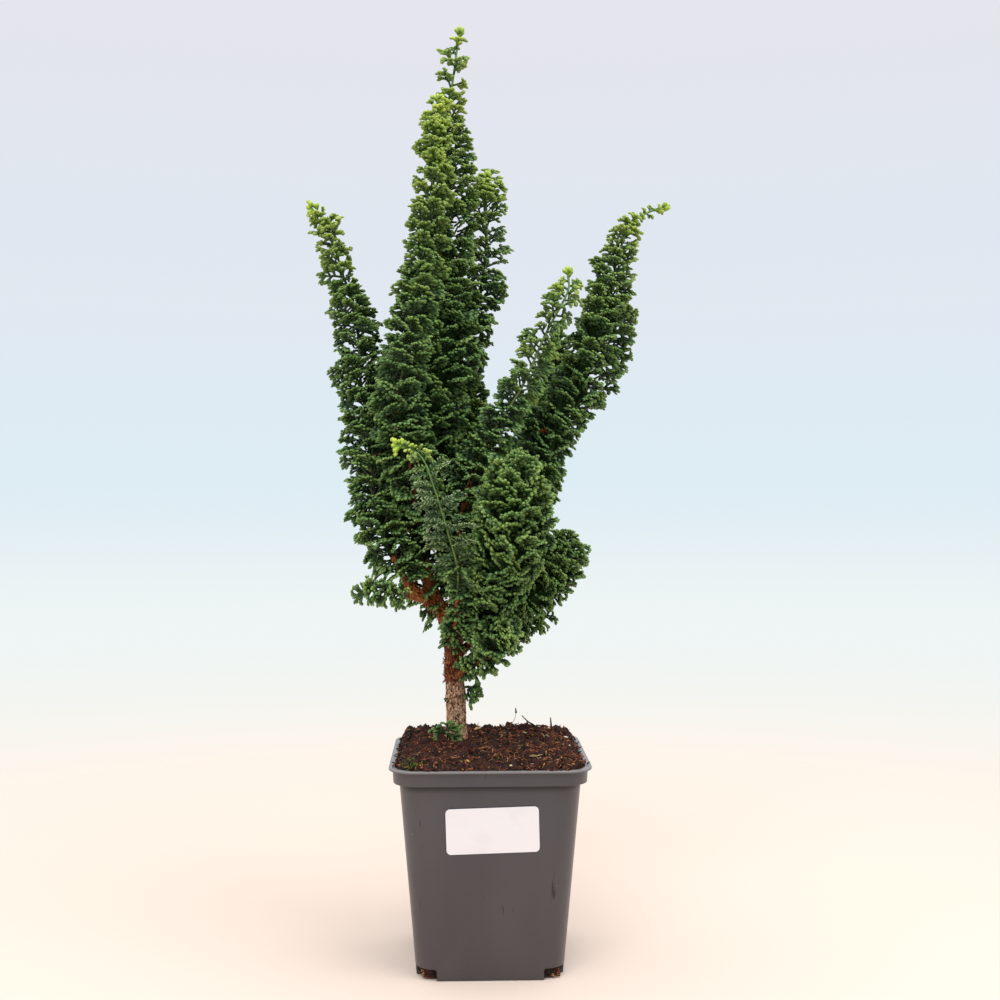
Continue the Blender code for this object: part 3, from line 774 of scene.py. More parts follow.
@dataclass
class Plume:
    """One leafy shoot: its stem, and sprays all round it out to an outline seen from the front.

    Places and sizes are millimetres. `outline` lists height, reach to the left and reach to the
    right, from the shoot's start up. `depth` is the reach to the front and back as a share of those,
    `ferny_from` the share past which the sprays are slender like a fern's, `flat` how far the sprays
    past the share `flat_from` keep to two rows at the left and right, `cell` the surface that each
    spray has, `grown` the share past which the shoot is this year's yellow-green tip, and `light`
    how yellow the leaves are, evenly from start to tip. `bend` is how far the sprays hang, `radial`
    how far out a spray runs, `apart` how many times further apart the sprays are on the stretch
    between the two shares of `thinned`, and `fold` how much closer to the stem the sprays at the
    front and back lie, so that their faces show. Those at the sides take the share `fold_sides` of it.
    """

    name: str
    branch: str
    start: float
    onward: list[Point]
    outline: list[Point]
    grown: float = 1.0
    ferny_from: float = 1.0
    cell: float = 125.0
    depth: float = 1.0
    flat: float = 0.0
    flat_from: float = 0.0
    light: Sequence[float] = (0.0, 0.1)
    bend: float = 0.26
    radial: float = 15.0
    thinned: Pair = (1.0, 1.0)
    apart: float = 1.0
    fold: float = 0.36
    fold_sides: float = 0.0

    LEANS = (82, 70, 62, 58, 55, 52)
    GOLDEN_TURN = 137.508
    STEP = 3.0
    SAG = 1.3
    SAG_SHARE = 0.15
    INNER_CELLS = 3.4
    SPRAY_SLOPE = 0.85
    SPRAY_LENGTHS = (5.5, 27.0)
    DEAD_SIZE = 0.55
    STEM_RADII = (1.4, 0.95, 0.75, 0.6)
    STEM_SIDES = 7
    END_SPRAY = 9.0

    def lay_path(self, wood: "Wood") -> None:
        """Works out the shoot's line.

        Args:
            wood: the branches, of which it follows one and goes on from it.
        """
        line = wood.line(self.branch, self.STEP)
        run = runs(line)
        held = line[run >= run[-1] * self.start]
        self.path = np.vstack([held[:-1], smooth_path([held[-1], *self.onward], self.STEP)])
        self.length = runs(self.path)[-1]

    def mean_reach(self, heights: Array) -> Array:
        """The mean of left and right reach at heights."""
        z, left, right = np.array(self.outline).T
        return (np.interp(heights, z, left) + np.interp(heights, z, right)) / 2

    def reach(self, heights: Array, outs: Array, rise: Array) -> Array:
        """How far the foliage stands out from the stem.

        Args:
            heights: where it is asked.
            outs: the unit directions away from the stem.
            rise: how upright the stem is there, from 0 to 1.

        Returns:
            The reach for each row.
        """
        z, left, right = np.array(self.outline).T
        side = np.where(outs[:, 0] > 0, np.interp(heights, z, right), np.interp(heights, z, left))
        deep = self.mean_reach(heights) * self.depth
        across = np.abs(outs[:, 0])
        rest = np.sqrt(np.clip(1 - across ** 2, 0, 1))
        return np.clip(rise, 0.6, 1.0) / np.sqrt((across / side) ** 2 + (rest / deep) ** 2)

    def spiral(self, cell: float, low: float, high: float) -> tuple[Array, Array]:
        """Places of sprays in a spiral round the stem.

        Args:
            cell: surface per spray at the reach.
            low: distance along the stem where they start.
            high: distance where they end.

        Returns:
            Distances along the stem, and bearings round it from the front.
        """
        draw = self.draw
        distances, bearings = [], []
        distance, turn, hand = low, draw.uniform(0, 360), 1
        run = runs(self.path)
        while distance < high:
            distances.append(distance)
            two_rows = hand * (90 + draw.normal(0, 26))
            rowed = draw.uniform() < self.flat and distance > self.flat_from * self.length
            bearings.append(two_rows if rowed else turn)
            reach = float(self.mean_reach(np.interp(distance, run, self.path[:, 2])))
            around = 2 * math.pi * max(reach, 4.0) * (0.35 + 0.65 * min(self.depth, 1.0))
            spread = self.apart if self.thinned[0] < distance / self.length < self.thinned[1] else 1.0
            distance += cell * spread / around * draw.uniform(0.8, 1.2)
            turn += self.GOLDEN_TURN + draw.normal(0, 8)
            hand = -hand
        return np.array(distances), np.array(bearings)

    def sprays(self, low: float, high: float, inner: bool = False) -> list[Shape]:
        """Sprays on a stretch of the stem.

        Args:
            low: where the stretch starts.
            high: where it ends.
            inner: whether these are the shorter ones that fill the inside of a thick shoot.

        Returns:
            The placed sprays.
        """
        draw = self.draw
        distances, bearings = self.spiral(self.cell * (self.INNER_CELLS if inner else 1.0), low, high)
        share = distances / self.length
        count = len(share)
        spots, aheads = along(self.path, distances)
        facing = np.where(np.abs(aheads[:, 1:2]) < 0.9, [[0.0, -1.0, 0.0]], [[0.0, 0.0, 1.0]])
        sides = unit(facing - aheads * np.sum(facing * aheads, axis=1, keepdims=True))
        outs = turned(sides, aheads, bearings)
        front = np.maximum(np.abs(outs[:, 1]) ** 1.5, self.fold_sides)
        lean = np.radians(profile(self.LEANS, share) * (1 - self.fold * front) + draw.normal(0, 8, count))
        rise = np.abs(aheads[:, 2])
        reach = self.reach(spots[:, 2], outs, rise)
        for _ in range(3):
            reach = self.reach(spots[:, 2] + rise * reach / np.tan(lean) * 0.8, outs, rise)
        thick = reach > self.radial + 2
        reach *= draw.uniform(0.5, 0.78, count) if inner else draw.uniform(0.88, 1.16, count)
        inward = self.radial * np.sin(lean) / self.SPRAY_SLOPE
        root = np.clip(reach - inward * draw.uniform(0.85, 1.2, count), 0.4, None)
        ways = unit(aheads * np.cos(lean)[:, None] + outs * np.sin(lean)[:, None])
        lengths = np.clip((reach - root) / np.sin(lean), *self.SPRAY_LENGTHS)
        planar = (draw.uniform(0, 1, count) < self.flat) & (share > self.flat_from)
        loose = draw.choice([-1, 1], count) * draw.uniform(20 + 34 * front, 88, count)
        tilt = np.where(planar, draw.normal(0, 20, count), loose)
        normals = turned(unit(np.cross(outs, aheads)), ways, tilt)
        light = profile(self.light, share)
        bends = self.bend * (1 + self.SAG * np.clip(1 - share / self.SAG_SHARE, 0, 1))
        placed = []
        for i in np.flatnonzero(thick) if inner else range(count):
            turn = flat_turn(ways[i], normals[i])
            if turn[:, 2] @ (outs[i] + 0.4 * aheads[i]) < 0:
                turn[:, 1:] *= -1
            habit = Habit.FERNY if share[i] > self.ferny_from else Habit.BLUNT
            spray, size = self.store.pick(habit if light[i] < 0.5 else Habit.YOUNG, lengths[i], draw)
            dead = draw.uniform() < (0.06 if inner else 0.003 * (light[i] < 0.1))
            size *= self.DEAD_SIZE if dead else 1.0
            pull = -bends[i] * (0.7 * aheads[i] + [0, 0, 0.3])
            shape = spray.laid(size, spots[i] + outs[i] * root[i], turn, pull)
            shape.mark("tone", 0.3 * shape.marks["tone"] + 0.7 * draw.uniform(0, 1))
            shape.mark("young", np.clip(light[i] + draw.normal(0, 0.06), 0, 1))
            shape.mark("pale", float(habit is Habit.FERNY))
            placed.append(shape.mark("dead", float(dead)))
        return placed

    def stem(self, low: float, high: float) -> Shape:
        """The stem on a stretch, scale-covered and thinner towards the tip.

        Args:
            low: distance along the stem where the stretch starts.
            high: where it ends.

        Returns:
            The stem's tube.
        """
        distances = np.linspace(low, high, max(3, int((high - low) / self.STEP)))
        share = distances / self.length
        spots, _ = along(self.path, distances)
        ferny = self.ferny_from < 1.0
        shape = limb(spots, profile(self.STEM_RADII, share) * (0.72 if ferny else 1), self.STEM_SIDES)
        least = 0.55 if ferny else 0.25
        light = least + (1 - least) * profile(self.light, share)
        shape.mark("wood", 1.0)
        shape.mark("young", np.append(np.repeat(light * (0.4 + 0.6 * share), self.STEM_SIDES), [0, 0]))
        return shape.mark("tone", 0.5)

    def painted_shade_core(self, low: float, high: float) -> list[Shape]:
        """A dark knobbly core round the stem of a thick shoot, painted shade that stands for the deep shadow
        among its sprays.

        Args:
            low: distance along the stem where the shoot's green stretch starts.
            high: where it ends.

        Returns:
            The core of painted shade, or nothing for a slim shoot.
        """
        distances = np.arange(low + 2, high - 2, 2.5)
        if len(distances) < 4 or self.flat > 0.5 and self.flat_from == 0.0:
            return []
        spots, _ = along(self.path, distances)
        reach = self.mean_reach(spots[:, 2]) * min(self.depth, 1.0)
        edge = np.minimum(distances - low, high - distances) / 10
        radii = np.clip((reach - self.radial) * 1.05, 0.8, None) * np.clip(edge, 0.1, 1)
        if radii.max() < 2.0:
            return []
        seed = self.draw.uniform(0, 50)
        shape = limb(spots, np.maximum(radii, 0.6), 18, relief=0.5, grain=(0.42, 0.42), seed=seed)
        # The mark deep gives the core its dark colours of painted shade, and no shine.
        return [shape.mark("tip", 0.0).mark("deep", 1.0)]

    def end_spray(self) -> Shape:
        """The spray that ends the shoot.

        Returns:
            The spray, in line with the stem.
        """
        spots, aheads = along(self.path, np.array([self.length - self.END_SPRAY * 0.55]))
        way = aheads[0]
        turn = flat_turn(way, np.cross(way, np.cross([0.0, -1.0, 0.2], way)))
        spray, size = self.store.pick(Habit.YOUNG, self.END_SPRAY, self.draw)
        shape = spray.laid(size, spots[0], turn, np.zeros(3))
        return shape.mark("young", float(profile(self.light, 1.0))).mark("tone", 0.6)

    def build(self, wood: "Wood", store: SprayStore, finish: Material, order: int) -> None:
        """Makes the shoot's pieces: the green one, and the young tip where it has one.

        Args:
            wood: the branches that carry it.
            store: the sprays to copy.
            finish: the leaves' material.
            order: the shoot's number, which seeds its own random draws.
        """
        self.store = store
        self.draw = np.random.default_rng(SEED + order)
        self.lay_path(wood)
        cut = self.length * self.grown
        shapes = self.sprays(2.0, cut) + self.sprays(4.0, cut, inner=True)
        shapes += [self.stem(0.0, cut), *self.painted_shade_core(0.0, cut)]
        if self.grown >= 1.0:
            shapes.append(self.end_spray())
        settle(piece_from(f"{self.name}_foliage", merged(shapes), finish), self.name)
        if self.grown < 1.0:
            young = self.sprays(cut + 2.0, self.length - 3.0)
            young += [self.stem(cut, self.length), self.end_spray()]
            tip = piece_from(f"{self.name}_young_tip", merged(young), finish)
            settle(tip, f"{self.name}_tip")


@dataclass
class Sprout:
    """A small sprout low on the trunk: a short stem, and the foot, way and length of each spray."""

    name: str
    stem: list[Point]
    sprays: list[tuple[Point, Point, float]]

    FACING = (0.15, -1.0, 0.45)
    PULL = (0.0, -0.1, -0.2)

    def build(self, store: SprayStore, finish: Material, order: int) -> None:
        """Makes the sprout's piece.

        Args:
            store: the sprays to copy.
            finish: the leaves' material.
            order: its number, which seeds its own random draws.
        """
        draw = np.random.default_rng(SEED + order)
        path = smooth_path(self.stem, 1.5)
        shapes = [limb(path, np.full(len(path), 0.8), 7).mark("wood", 1.0).mark("young", 0.25)]
        for foot, way, length in self.sprays:
            turn = flat_turn(unit(np.array(way, float)), unit(self.FACING + draw.normal(0, 0.25, 3)))
            spray, size = store.pick(Habit.BLUNT, length, draw)
            shape = spray.laid(size, np.array(foot, float), turn, np.array(self.PULL))
            shapes.append(shape.mark("tone", draw.uniform(0.2, 0.8)).mark("young", 0.05))
        settle(piece_from(f"{self.name}_foliage", merged(shapes), finish), self.name)


# Wood


@dataclass(frozen=True)
class Torn:
    """Torn bark on a stretch of some limbs.

    The stretch is between two shares of a limb's length. Each limb gets `count` strips, `size` long,
    least and greatest, whose free ends stand off by `lift` degrees, least and greatest, and which
    stray from the grain by `sway`.
    """

    limbs: tuple[str, ...]
    low: float
    high: float
    count: int
    size: Pair
    lift: Pair
    sway: float


TORN = (
    Torn(("trunk",), 0.05, 0.21, 1000, (1.2, 3.4), (0, 10), 0.55),
    Torn(("trunk",), 0.205, 0.25, 260, (1.6, 4.2), (8, 45), 0.7),
    Torn(("trunk",), 0.24, 0.44, 420, (1.8, 5.0), (2, 26), 0.4),
    Torn(("left", "middle"), 0.0, 0.5, 230, (2.0, 4.6), (10, 50), 0.5),
    Torn(("low_left", "front", "right", "dome", "back", "low_right", "second_leader"),
         0.0, 0.5, 45, (2.0, 4.6), (4, 26), 0.4),
)


@dataclass
class Wood:
    """The trunk, which runs on into the leader, and the branches, with their torn bark.

    `trunk_radii` and `reds` are read by height. A red of 0 is the foot's grey tan, 0.5 dark red
    brown and 1 the fork's orange brown. A branch has a line, and a radius at its start and end.
    """

    trunk: list[Point]
    trunk_radii: list[Pair]
    branches: dict[str, tuple[list[Point], float, float]]
    slim: float = 0.86
    reds: tuple[Pair, ...] = ((154, 0), (159, 0.72), (168, 0.72), (174, 0.5), (184, 0.5), (194, 1))
    flare: tuple[Pair, ...] = ((25, 30), (115, 26), (205, 21), (300, 28))

    STEP = 1.6
    ROOT_RADII = (2.2, 2.6, 2.2, 1.0)

    def line(self, name: str, step: float) -> Array:
        """The smooth middle line of a branch, or of the trunk."""
        return smooth_path(self.trunk if name == "trunk" else self.branches[name][0], step)

    def radii(self, name: str, path: Array) -> Array:
        """How thick a branch or the trunk is.

        Args:
            name: the branch's name, or trunk.
            path: its middle line.

        Returns:
            The radius at each point of the line.
        """
        if name == "trunk":
            return np.interp(path[:, 2], *zip(*self.trunk_radii)) * self.slim
        _, low, high = self.branches[name]
        run = runs(path)
        return (low + (high - low) * run / run[-1]) * self.slim

    def redness(self, points: Array) -> Array:
        """The bark's red at points, by their heights."""
        return np.interp(points[:, 2], *zip(*self.reds))

    def limbs(self) -> list[Shape]:
        """The trunk and the branches.

        Returns:
            Their tubes, ridged along the grain.
        """
        shapes = []
        for i, name in enumerate(["trunk", *self.branches]):
            path = self.line(name, self.STEP)
            shape = limb(path, self.radii(name, path), 26 if name == "trunk" else 14,
                         relief=0.2, grain=(0.65, 0.10), seed=7.0 * i)
            shapes.append(shape.mark("red", self.redness(shape.points)).mark("tone", 0.35))
        return shapes

    def roots(self) -> list[Shape]:
        """The flare of the trunk's foot.

        Returns:
            The main roots, which go into the soil.
        """
        shapes = []
        foot = np.array(self.trunk[0])
        for i, (bearing, length) in enumerate(self.flare):
            out = level_ways(math.radians(bearing))
            path = smooth_path([foot + out * 2 + [0, 0, 31], foot + out * 5 + [0, 0, 25],
                                foot + out * 12 + [0, 0, 19], foot + out * length - [0, 0, 6]], 2.0)
            shape = limb(path, profile(self.ROOT_RADII, np.linspace(0, 1, len(path))), 12,
                         relief=0.2, grain=(0.6, 0.1), seed=90.0 + i)
            shapes.append(shape.mark("red", 0.05).mark("tone", 0.3))
        return shapes

    def strips(self, sliver: Master, draw: np.random.Generator, name: str, torn: Torn) -> Shape:
        """Torn strips of bark on a stretch of a limb.

        Args:
            sliver: the master of a strip.
            draw: the random source.
            name: the branch's name, or trunk.
            torn: where they are, and their look.

        Returns:
            The strips as one shape.
        """
        count = torn.count
        path = self.line(name, self.STEP)
        run = runs(path)
        distances = draw.uniform(torn.low, torn.high, count) * run[-1]
        spots, aheads = along(path, distances)
        radii = np.interp(distances, run, self.radii(name, path))
        outs = unit(np.cross(aheads, draw.normal(0, 1, (count, 3))))
        down = np.where(draw.uniform(0, 1, count) < 0.7, -1.0, 1.0)[:, None]
        sway = np.cross(aheads, outs) * draw.normal(0, torn.sway, (count, 1))
        lifts = np.radians(draw.uniform(*torn.lift, count))[:, None]
        ways = unit((aheads * down + sway) * np.cos(lifts) + outs * np.sin(lifts))
        lengths = draw.uniform(*torn.size, count)
        sizes = np.stack([lengths, draw.uniform(0.6, 1.5, count), draw.uniform(0.3, 0.6, count)], axis=1)
        shape = sliver.copies(spots + outs * (radii[:, None] * 0.98), ways, outs, sizes)
        red = self.redness(shape.points) + sliver.each(draw.normal(0, 0.12, count))
        shape.mark("red", np.clip(red, 0, 1))
        return shape.mark("tone", sliver.each(draw.beta(0.6, 0.6, count)))

    def build(self, sliver: Master, finish: Material) -> None:
        """Makes the wood's one piece.

        Args:
            sliver: the master of a bark strip.
            finish: the bark's material.
        """
        draw = np.random.default_rng(SEED + WOOD)
        shapes = self.limbs() + self.roots()
        shapes += [self.strips(sliver, draw, name, torn) for torn in TORN for name in torn.limbs]
        settle(piece_from("bark_wood", merged(shapes), finish), "wood")


# Pot, label and soil


@dataclass
class NurseryPot:
    """The square thin-walled pot: tapered body, stepped band, flat lip, base cut away at its corners."""

    height: float = 116.0
    lip_half: float = 55.0
    lip_thickness: float = 1.2
    band_half: float = 53.0
    band_draft: float = 0.4
    band_height: float = 8.5
    top_half: float = 49.4
    base_half: float = 40.3
    wall: float = 1.3
    floor: float = 2.0
    corner: float = 11.0
    corner_steps: int = 9
    notch_from: float = 29.0
    notch_height: float = 6.3
    notch_round: float = 1.6
    edge_round: float = 0.35
    edge_angle: float = 38.0
    smooth_angle: float = 40.0

    @property
    def shelf(self) -> float:
        """Height of the step under the band."""
        return self.height - self.band_height

    def half_at(self, z: float) -> float:
        """Half the body's outer width at a height."""
        return self.base_half + (self.top_half - self.base_half) * z / self.shelf

    def stations(self) -> list[Pair]:
        """Height and half width of each ring, up the outside and down the inside.

        Returns:
            The rings, from the edge of the underside to the edge of the inner floor.
        """
        return [
            (0.0, self.base_half),
            (self.shelf, self.top_half),
            (self.shelf, self.band_half - self.band_draft),
            (self.height - self.lip_thickness, self.band_half),
            (self.height - self.lip_thickness, self.lip_half),
            (self.height, self.lip_half),
            (self.height, self.band_half - self.wall),
            (self.shelf + self.wall, self.band_half - self.band_draft - self.wall),
            (self.shelf + self.wall, self.top_half - self.wall),
            (self.floor, self.half_at(self.floor) - self.wall),
        ]

    def body(self) -> Object:
        """The pot's shell, extruded from a square with rounded corners.

        Returns:
            The shell, in object mode.
        """
        deselect()
        (height, half), *rings = self.stations()
        bpy.ops.mesh.primitive_plane_add(size=2 * half * MM, location=(0, 0, height * MM))
        pot = start_shaping()
        pot.name = "nursery_pot"
        bpy.ops.mesh.bevel(offset=self.corner * MM, segments=self.corner_steps, affect="VERTICES",
                           offset_type="OFFSET")
        bpy.ops.mesh.select_all(action="SELECT")
        for top, wide in rings:
            extrude_up((top - height) * MM, top * MM, (wide / half, wide / half))
            height, half = top, wide
        end_shaping()
        return pot

    def notch(self, side_x: int, side_y: int) -> Object:
        """The block that cuts one corner of the base away, its inner edges rounded.

        Args:
            side_x: 1 for a corner on the right, -1 for one on the left.
            side_y: 1 for a corner at the back, -1 for one at the front.

        Returns:
            The block.
        """
        deselect()
        reach = self.lip_half - self.notch_from
        middle = self.notch_from + reach / 2
        bpy.ops.mesh.primitive_cube_add(size=1, location=(side_x * middle * MM, side_y * middle * MM, 0))
        block = bpy.context.object
        block.scale = (reach * MM, reach * MM, 2 * self.notch_height * MM)
        bpy.ops.object.transform_apply(location=True, rotation=False, scale=True)
        apply_modifier(block, "BEVEL", {"width": self.notch_round * MM, "segments": 4})
        return block

    def build(self, finish: Material) -> None:
        """Makes the pot's piece.

        Args:
            finish: the pot's plastic.
        """
        pot = self.body()
        for side_x in (-1, 1):
            for side_y in (-1, 1):
                block = self.notch(side_x, side_y)
                cut = {"operation": "DIFFERENCE", "object": block, "solver": "EXACT"}
                apply_modifier(pot, "BOOLEAN", cut)
                bpy.data.objects.remove(block)
        apply_modifier(pot, "BEVEL", {"width": self.edge_round * MM, "segments": 3, "limit_method": "ANGLE",
                                      "angle_limit": math.radians(self.edge_angle),
                                      "use_clamp_overlap": True})
        bpy.ops.object.shade_smooth_by_angle(angle=math.radians(self.smooth_angle))
        pot.data.materials.clear()
        pot.data.materials.append(finish)
        settle(pot, "pot")


@dataclass
class BlankLabel:
    """The blank sticker on the pot's front wall."""

    width: float = 50.0
    height: float = 25.0
    thickness: float = 0.28
    corner: float = 2.4
    edge_round: float = 0.08
    centre_x: float = 1.0
    centre_z: float = 83.1
    turn: float = 1.7
    gap: float = 0.3

    def build(self, pot: NurseryPot, finish: Material) -> None:
        """Makes the label's piece, flat on the sloping wall.

        Args:
            pot: the pot it sticks to.
            finish: the sticker's material.
        """
        deselect()
        bpy.ops.mesh.primitive_plane_add(size=1, location=(0, 0, 0))
        label = bpy.context.object
        label.name = "blank_label"
        label.scale = (self.width * MM, self.height * MM, 1)
        bpy.ops.object.transform_apply(location=False, rotation=False, scale=True)
        start_shaping()
        bpy.ops.mesh.bevel(offset=self.corner * MM, segments=6, affect="VERTICES", offset_type="OFFSET")
        bpy.ops.mesh.select_all(action="SELECT")
        bpy.ops.mesh.extrude_region_move(TRANSFORM_OT_translate={"value": (0, 0, self.thickness * MM)})
        end_shaping()
        edge = {"width": self.edge_round * MM, "segments": 2, "limit_method": "ANGLE"}
        apply_modifier(label, "BEVEL", edge)
        slope = math.atan2(pot.top_half - pot.base_half, pot.shelf)
        centre = Vector((self.centre_x, -pot.half_at(self.centre_z) - self.gap, self.centre_z)) * MM
        stand = Matrix.Rotation(math.pi / 2 + slope, 4, "X")
        level = Matrix.Rotation(math.radians(self.turn), 4, "Z")
        label.data.transform(Matrix.Translation(centre) @ (stand @ level))
        label.data.materials.append(finish)
        settle(label, "label")


@dataclass
class PottingSoil:
    """Fibrous potting soil: a plug with a lumpy top, crumbs, fibres, chips and moss on it.

    `bits` are the pale bits that stand out in the photograph: place, length and tint. `twigs` are
    the dead twigs: waypoints, and a radius at the start and end. A tint of 0 is black brown, 0.5
    rusty, 0.75 yellow and 1 nearly white.
    """

    pot: NurseryPot
    crumb: Master
    sliver: Master
    branchlet: Master
    edge: float = 114.9
    mound: float = 5.3
    back: float = 3.6
    bump: float = 2.0
    relief: float = 4.2
    clear: float = 1.7
    gap: float = 0.35
    cuts: int = 96
    crumbs: int = 700
    shreds: int = 3300
    spilt: int = 340
    fibres: int = 800
    chips: int = 60
    moss: int = 130
    corner_fibres: int = 26
    foot_mound: float = 4.6
    foot_spread: float = 17.0
    bits: tuple[tuple[float, ...], ...] = (
        (-8, 7, 126.5, 3.8, 0.78), (-6.5, 9, 127, 2.6, 0.8), (3, -31, 119.4, 2.6, 0.8),
        (8, -43, 117.4, 3.4, 0.82), (11, -45, 117.0, 3.6, 0.86), (14, -46, 116.6, 2.4, 0.78),
        (46, -6, 119.4, 3.0, 0.86), (36, -18, 120, 1.8, 0.95), (-31, -7, 124.5, 4.2, 0.9),
        (22, 10, 124, 3.0, 0.84))
    twigs: tuple[tuple[tuple[Point, ...], float, float], ...] = (
        (((31, 33, 118), (28.4, 33, 124.5), (24.5, 34, 127.2), (20.6, 34, 131)), 0.8, 0.3),
        (((28, 33, 124), (31, 35, 125), (33, 34, 124)), 0.6, 0.35),
        (((38, 37, 117), (38.4, 37, 124), (38, 37, 129.3)), 1.1, 0.3),
        (((9, 30, 119), (13, 31, 125), (16, 31, 129), (17, 31, 133.4)), 0.2, 0.16),
        (((17, 31, 133), (16.9, 31, 134.5), (16.8, 31, 136)), 0.7, 0.3),
        (((-52, 24, 119), (-44, 19, 123.6), (-38, 17, 125.6), (-32.8, 16, 127.8)), 0.5, 0.3),
        (((-47, 22, 118), (-45, 20, 122.5), (-46, 19, 125)), 0.7, 0.3),
        (((-42, -32, 117), (-34, -30, 119.6), (-27, -29, 122)), 0.4, 0.35))

    CLODS = (0.7, 2.1, 4)
    CLOD_GRAIN = 0.28

    def height(self, x: Array, y: Array) -> Array:
        """How high the soil's top is, without its crumbs.

        Args:
            x: places along X.
            y: places along Y.

        Returns:
            The height at each place.
        """
        half = self.pot.band_half - 1.6
        inward = np.minimum(1.0, (1 - np.maximum(abs(x), abs(y)) / half) / 0.45)
        rise = inward * (2 - inward)
        lumps = np.sin(x * 0.31 + 1.0) * np.sin(y * 0.37 + 2.0) + 0.7 * np.sin(x * 0.53 + y * 0.47)
        back = self.back * np.maximum(0.0, y / self.pot.band_half)
        away = (x - TRUNK[0][0]) ** 2 + (y - TRUNK[0][1]) ** 2
        foot = self.foot_mound * np.exp(-away / self.foot_spread ** 2)
        return self.edge + self.mound * rise + back + foot + self.bump * lumps * (0.35 + rise * 0.65)

    def keep_inside(self, shape: Shape) -> Shape:
        """Moves a shape's points that lie past the pot's inner wall back to it.

        Args:
            shape: what lies on the soil.

        Returns:
            The same shape.
        """
        pot, level = self.pot, shape.points[:, :2]
        straight = pot.band_half - pot.wall - self.gap - pot.corner
        past = np.clip(np.abs(level) - straight, 0, None)
        far = np.maximum(np.hypot(past[:, 0], past[:, 1]), 1e-6)
        kept = np.minimum(np.abs(level), straight) + past * np.minimum(1.0, pot.corner / far)[:, None]
        shape.points = np.column_stack([np.sign(level) * kept, shape.points[:, 2]])
        return shape

    def rounded(self, x: Array, y: Array, half: float, corner: float) -> tuple[Array, Array]:
        """Pulls points of a square into one with round corners.

        Args:
            x: the points' places along X.
            y: their places along Y.
            half: half the square's width.
            corner: the corners' radius.

        Returns:
            The new places along X and Y.
        """
        reach = np.maximum(abs(x), abs(y))
        inner = np.clip(np.minimum(abs(x), abs(y)) - (half - corner) * reach / half, 0, None) / corner
        inner = np.minimum(inner * half / np.maximum(reach, 1e-6), 1)
        pull = 1 - (1 - 1 / math.sqrt(2)) * corner / half * inner ** 2
        return x * pull, y * pull

    def plug(self) -> Shape:
        """The plug that fills the pot, its top displaced into clods.

        Returns:
            The plug.
        """
        pot = self.pot
        deselect()
        half = pot.band_half - pot.wall - self.gap
        shelf = (pot.top_half - pot.wall - self.clear + 1.3) / half
        taper = (pot.half_at(pot.floor) - self.clear) / (shelf * half)
        bpy.ops.mesh.primitive_grid_add(x_subdivisions=self.cuts, y_subdivisions=self.cuts, size=2.0,
                                        location=(0, 0, 0))
        made = start_shaping()
        extrude_up(-0.1, -0.1, (shelf, shelf))
        extrude_up(-0.9, -1.0, (taper, taper))
        bpy.ops.mesh.dissolve_faces()
        end_shaping(triangles=True)
        points, faces = take_mesh(made)
        level = points[:, 2]
        x, y = self.rounded(points[:, 0] * half, points[:, 1] * half, half, pot.corner + 1)
        clods = np.array([noise.fractal(Vector((a * self.CLOD_GRAIN, b * self.CLOD_GRAIN, 3.0)), *self.CLODS)
                          for a, b in zip(x, y)])
        edge = np.clip((half - np.maximum(abs(x), abs(y))) / 2.5, 0, 1)
        top = self.height(x, y) + self.relief * clods * edge
        under = np.where(level > -0.5, pot.shelf + pot.wall + 0.3, pot.floor + 0.3)
        z = np.where(level > -0.05, top, under)
        shape = Shape(np.stack([x, y, z], axis=1), faces, np.stack([x, y], axis=1))
        return shape.mark("tint", 0.05 + 0.1 * np.clip(clods, -0.5, 1))

    def scatter(self, count: int, edge: float) -> Array:
        """Random spots on the soil's top.

        Args:
            count: how many.
            edge: how far they stay off the pot's wall.

        Returns:
            The spots, one per row.
        """
        half = self.pot.band_half - self.pot.wall - edge
        x, y = self.rounded(*self.draw.uniform(-half, half, (2, count)), half, self.pot.corner)
        return np.stack([x, y, self.height(x, y)], axis=1)

    def crumb_shape(self) -> Shape:
        """Crumbs of peat and grit all over the top.

        Returns:
            The crumbs.
        """
        draw, count = self.draw, self.crumbs
        spots = self.scatter(count, 1.8)
        ways = unit(draw.normal(0, 1, (count, 3)) + [0, 0, 0.6])
        size = 0.7 + 2.8 * draw.uniform(0, 1, count) ** 2.4
        sizes = size[:, None] * draw.uniform(0.6, 1.25, (count, 3))
        shape = self.crumb.copies(spots - ways * sizes[:, :1] * 0.5 + [0, 0, 0.35], ways,
                                  unit(draw.normal(0, 1, (count, 3))), sizes)
        tint = np.clip(draw.beta(1.3, 5.5, count), 0, 0.6)
        pale = (draw.uniform(0, 1, count) < 0.04) & (size < 1.6)
        return self.keep_inside(shape).mark("tint", self.crumb.each(np.where(pale, 0.93, tint)))

    def shred_shape(self) -> Shape:
        """Short shreds of bark and root, the bulk of what shows on the top.

        Returns:
            The shreds.
        """
        draw, count = self.draw, self.shreds
        spots = self.scatter(count, 1.4)
        bearing = draw.uniform(0, 2 * math.pi, count)
        pitch = draw.normal(0.3, 0.55, count)
        ways = level_ways(bearing) * np.cos(pitch)[:, None] + np.outer(np.sin(pitch), [0, 0, 1])
        length = 1.4 + 3.8 * draw.uniform(0, 1, count) ** 1.8
        sizes = np.stack([length, draw.uniform(0.35, 0.85, count), draw.uniform(0.3, 0.6, count)], axis=1)
        shape = self.sliver.copies(spots - ways * length[:, None] * 0.3 + [0, 0, 0.5], ways,
                                   unit(draw.normal(0, 1, (count, 3))), sizes)
        tints = draw.choice([0.03, 0.14, 0.28, 0.42, 0.54, 0.68], count,
                            p=[0.24, 0.16, 0.2, 0.22, 0.11, 0.07])
        return self.keep_inside(shape).mark("tint", self.sliver.each(tints))

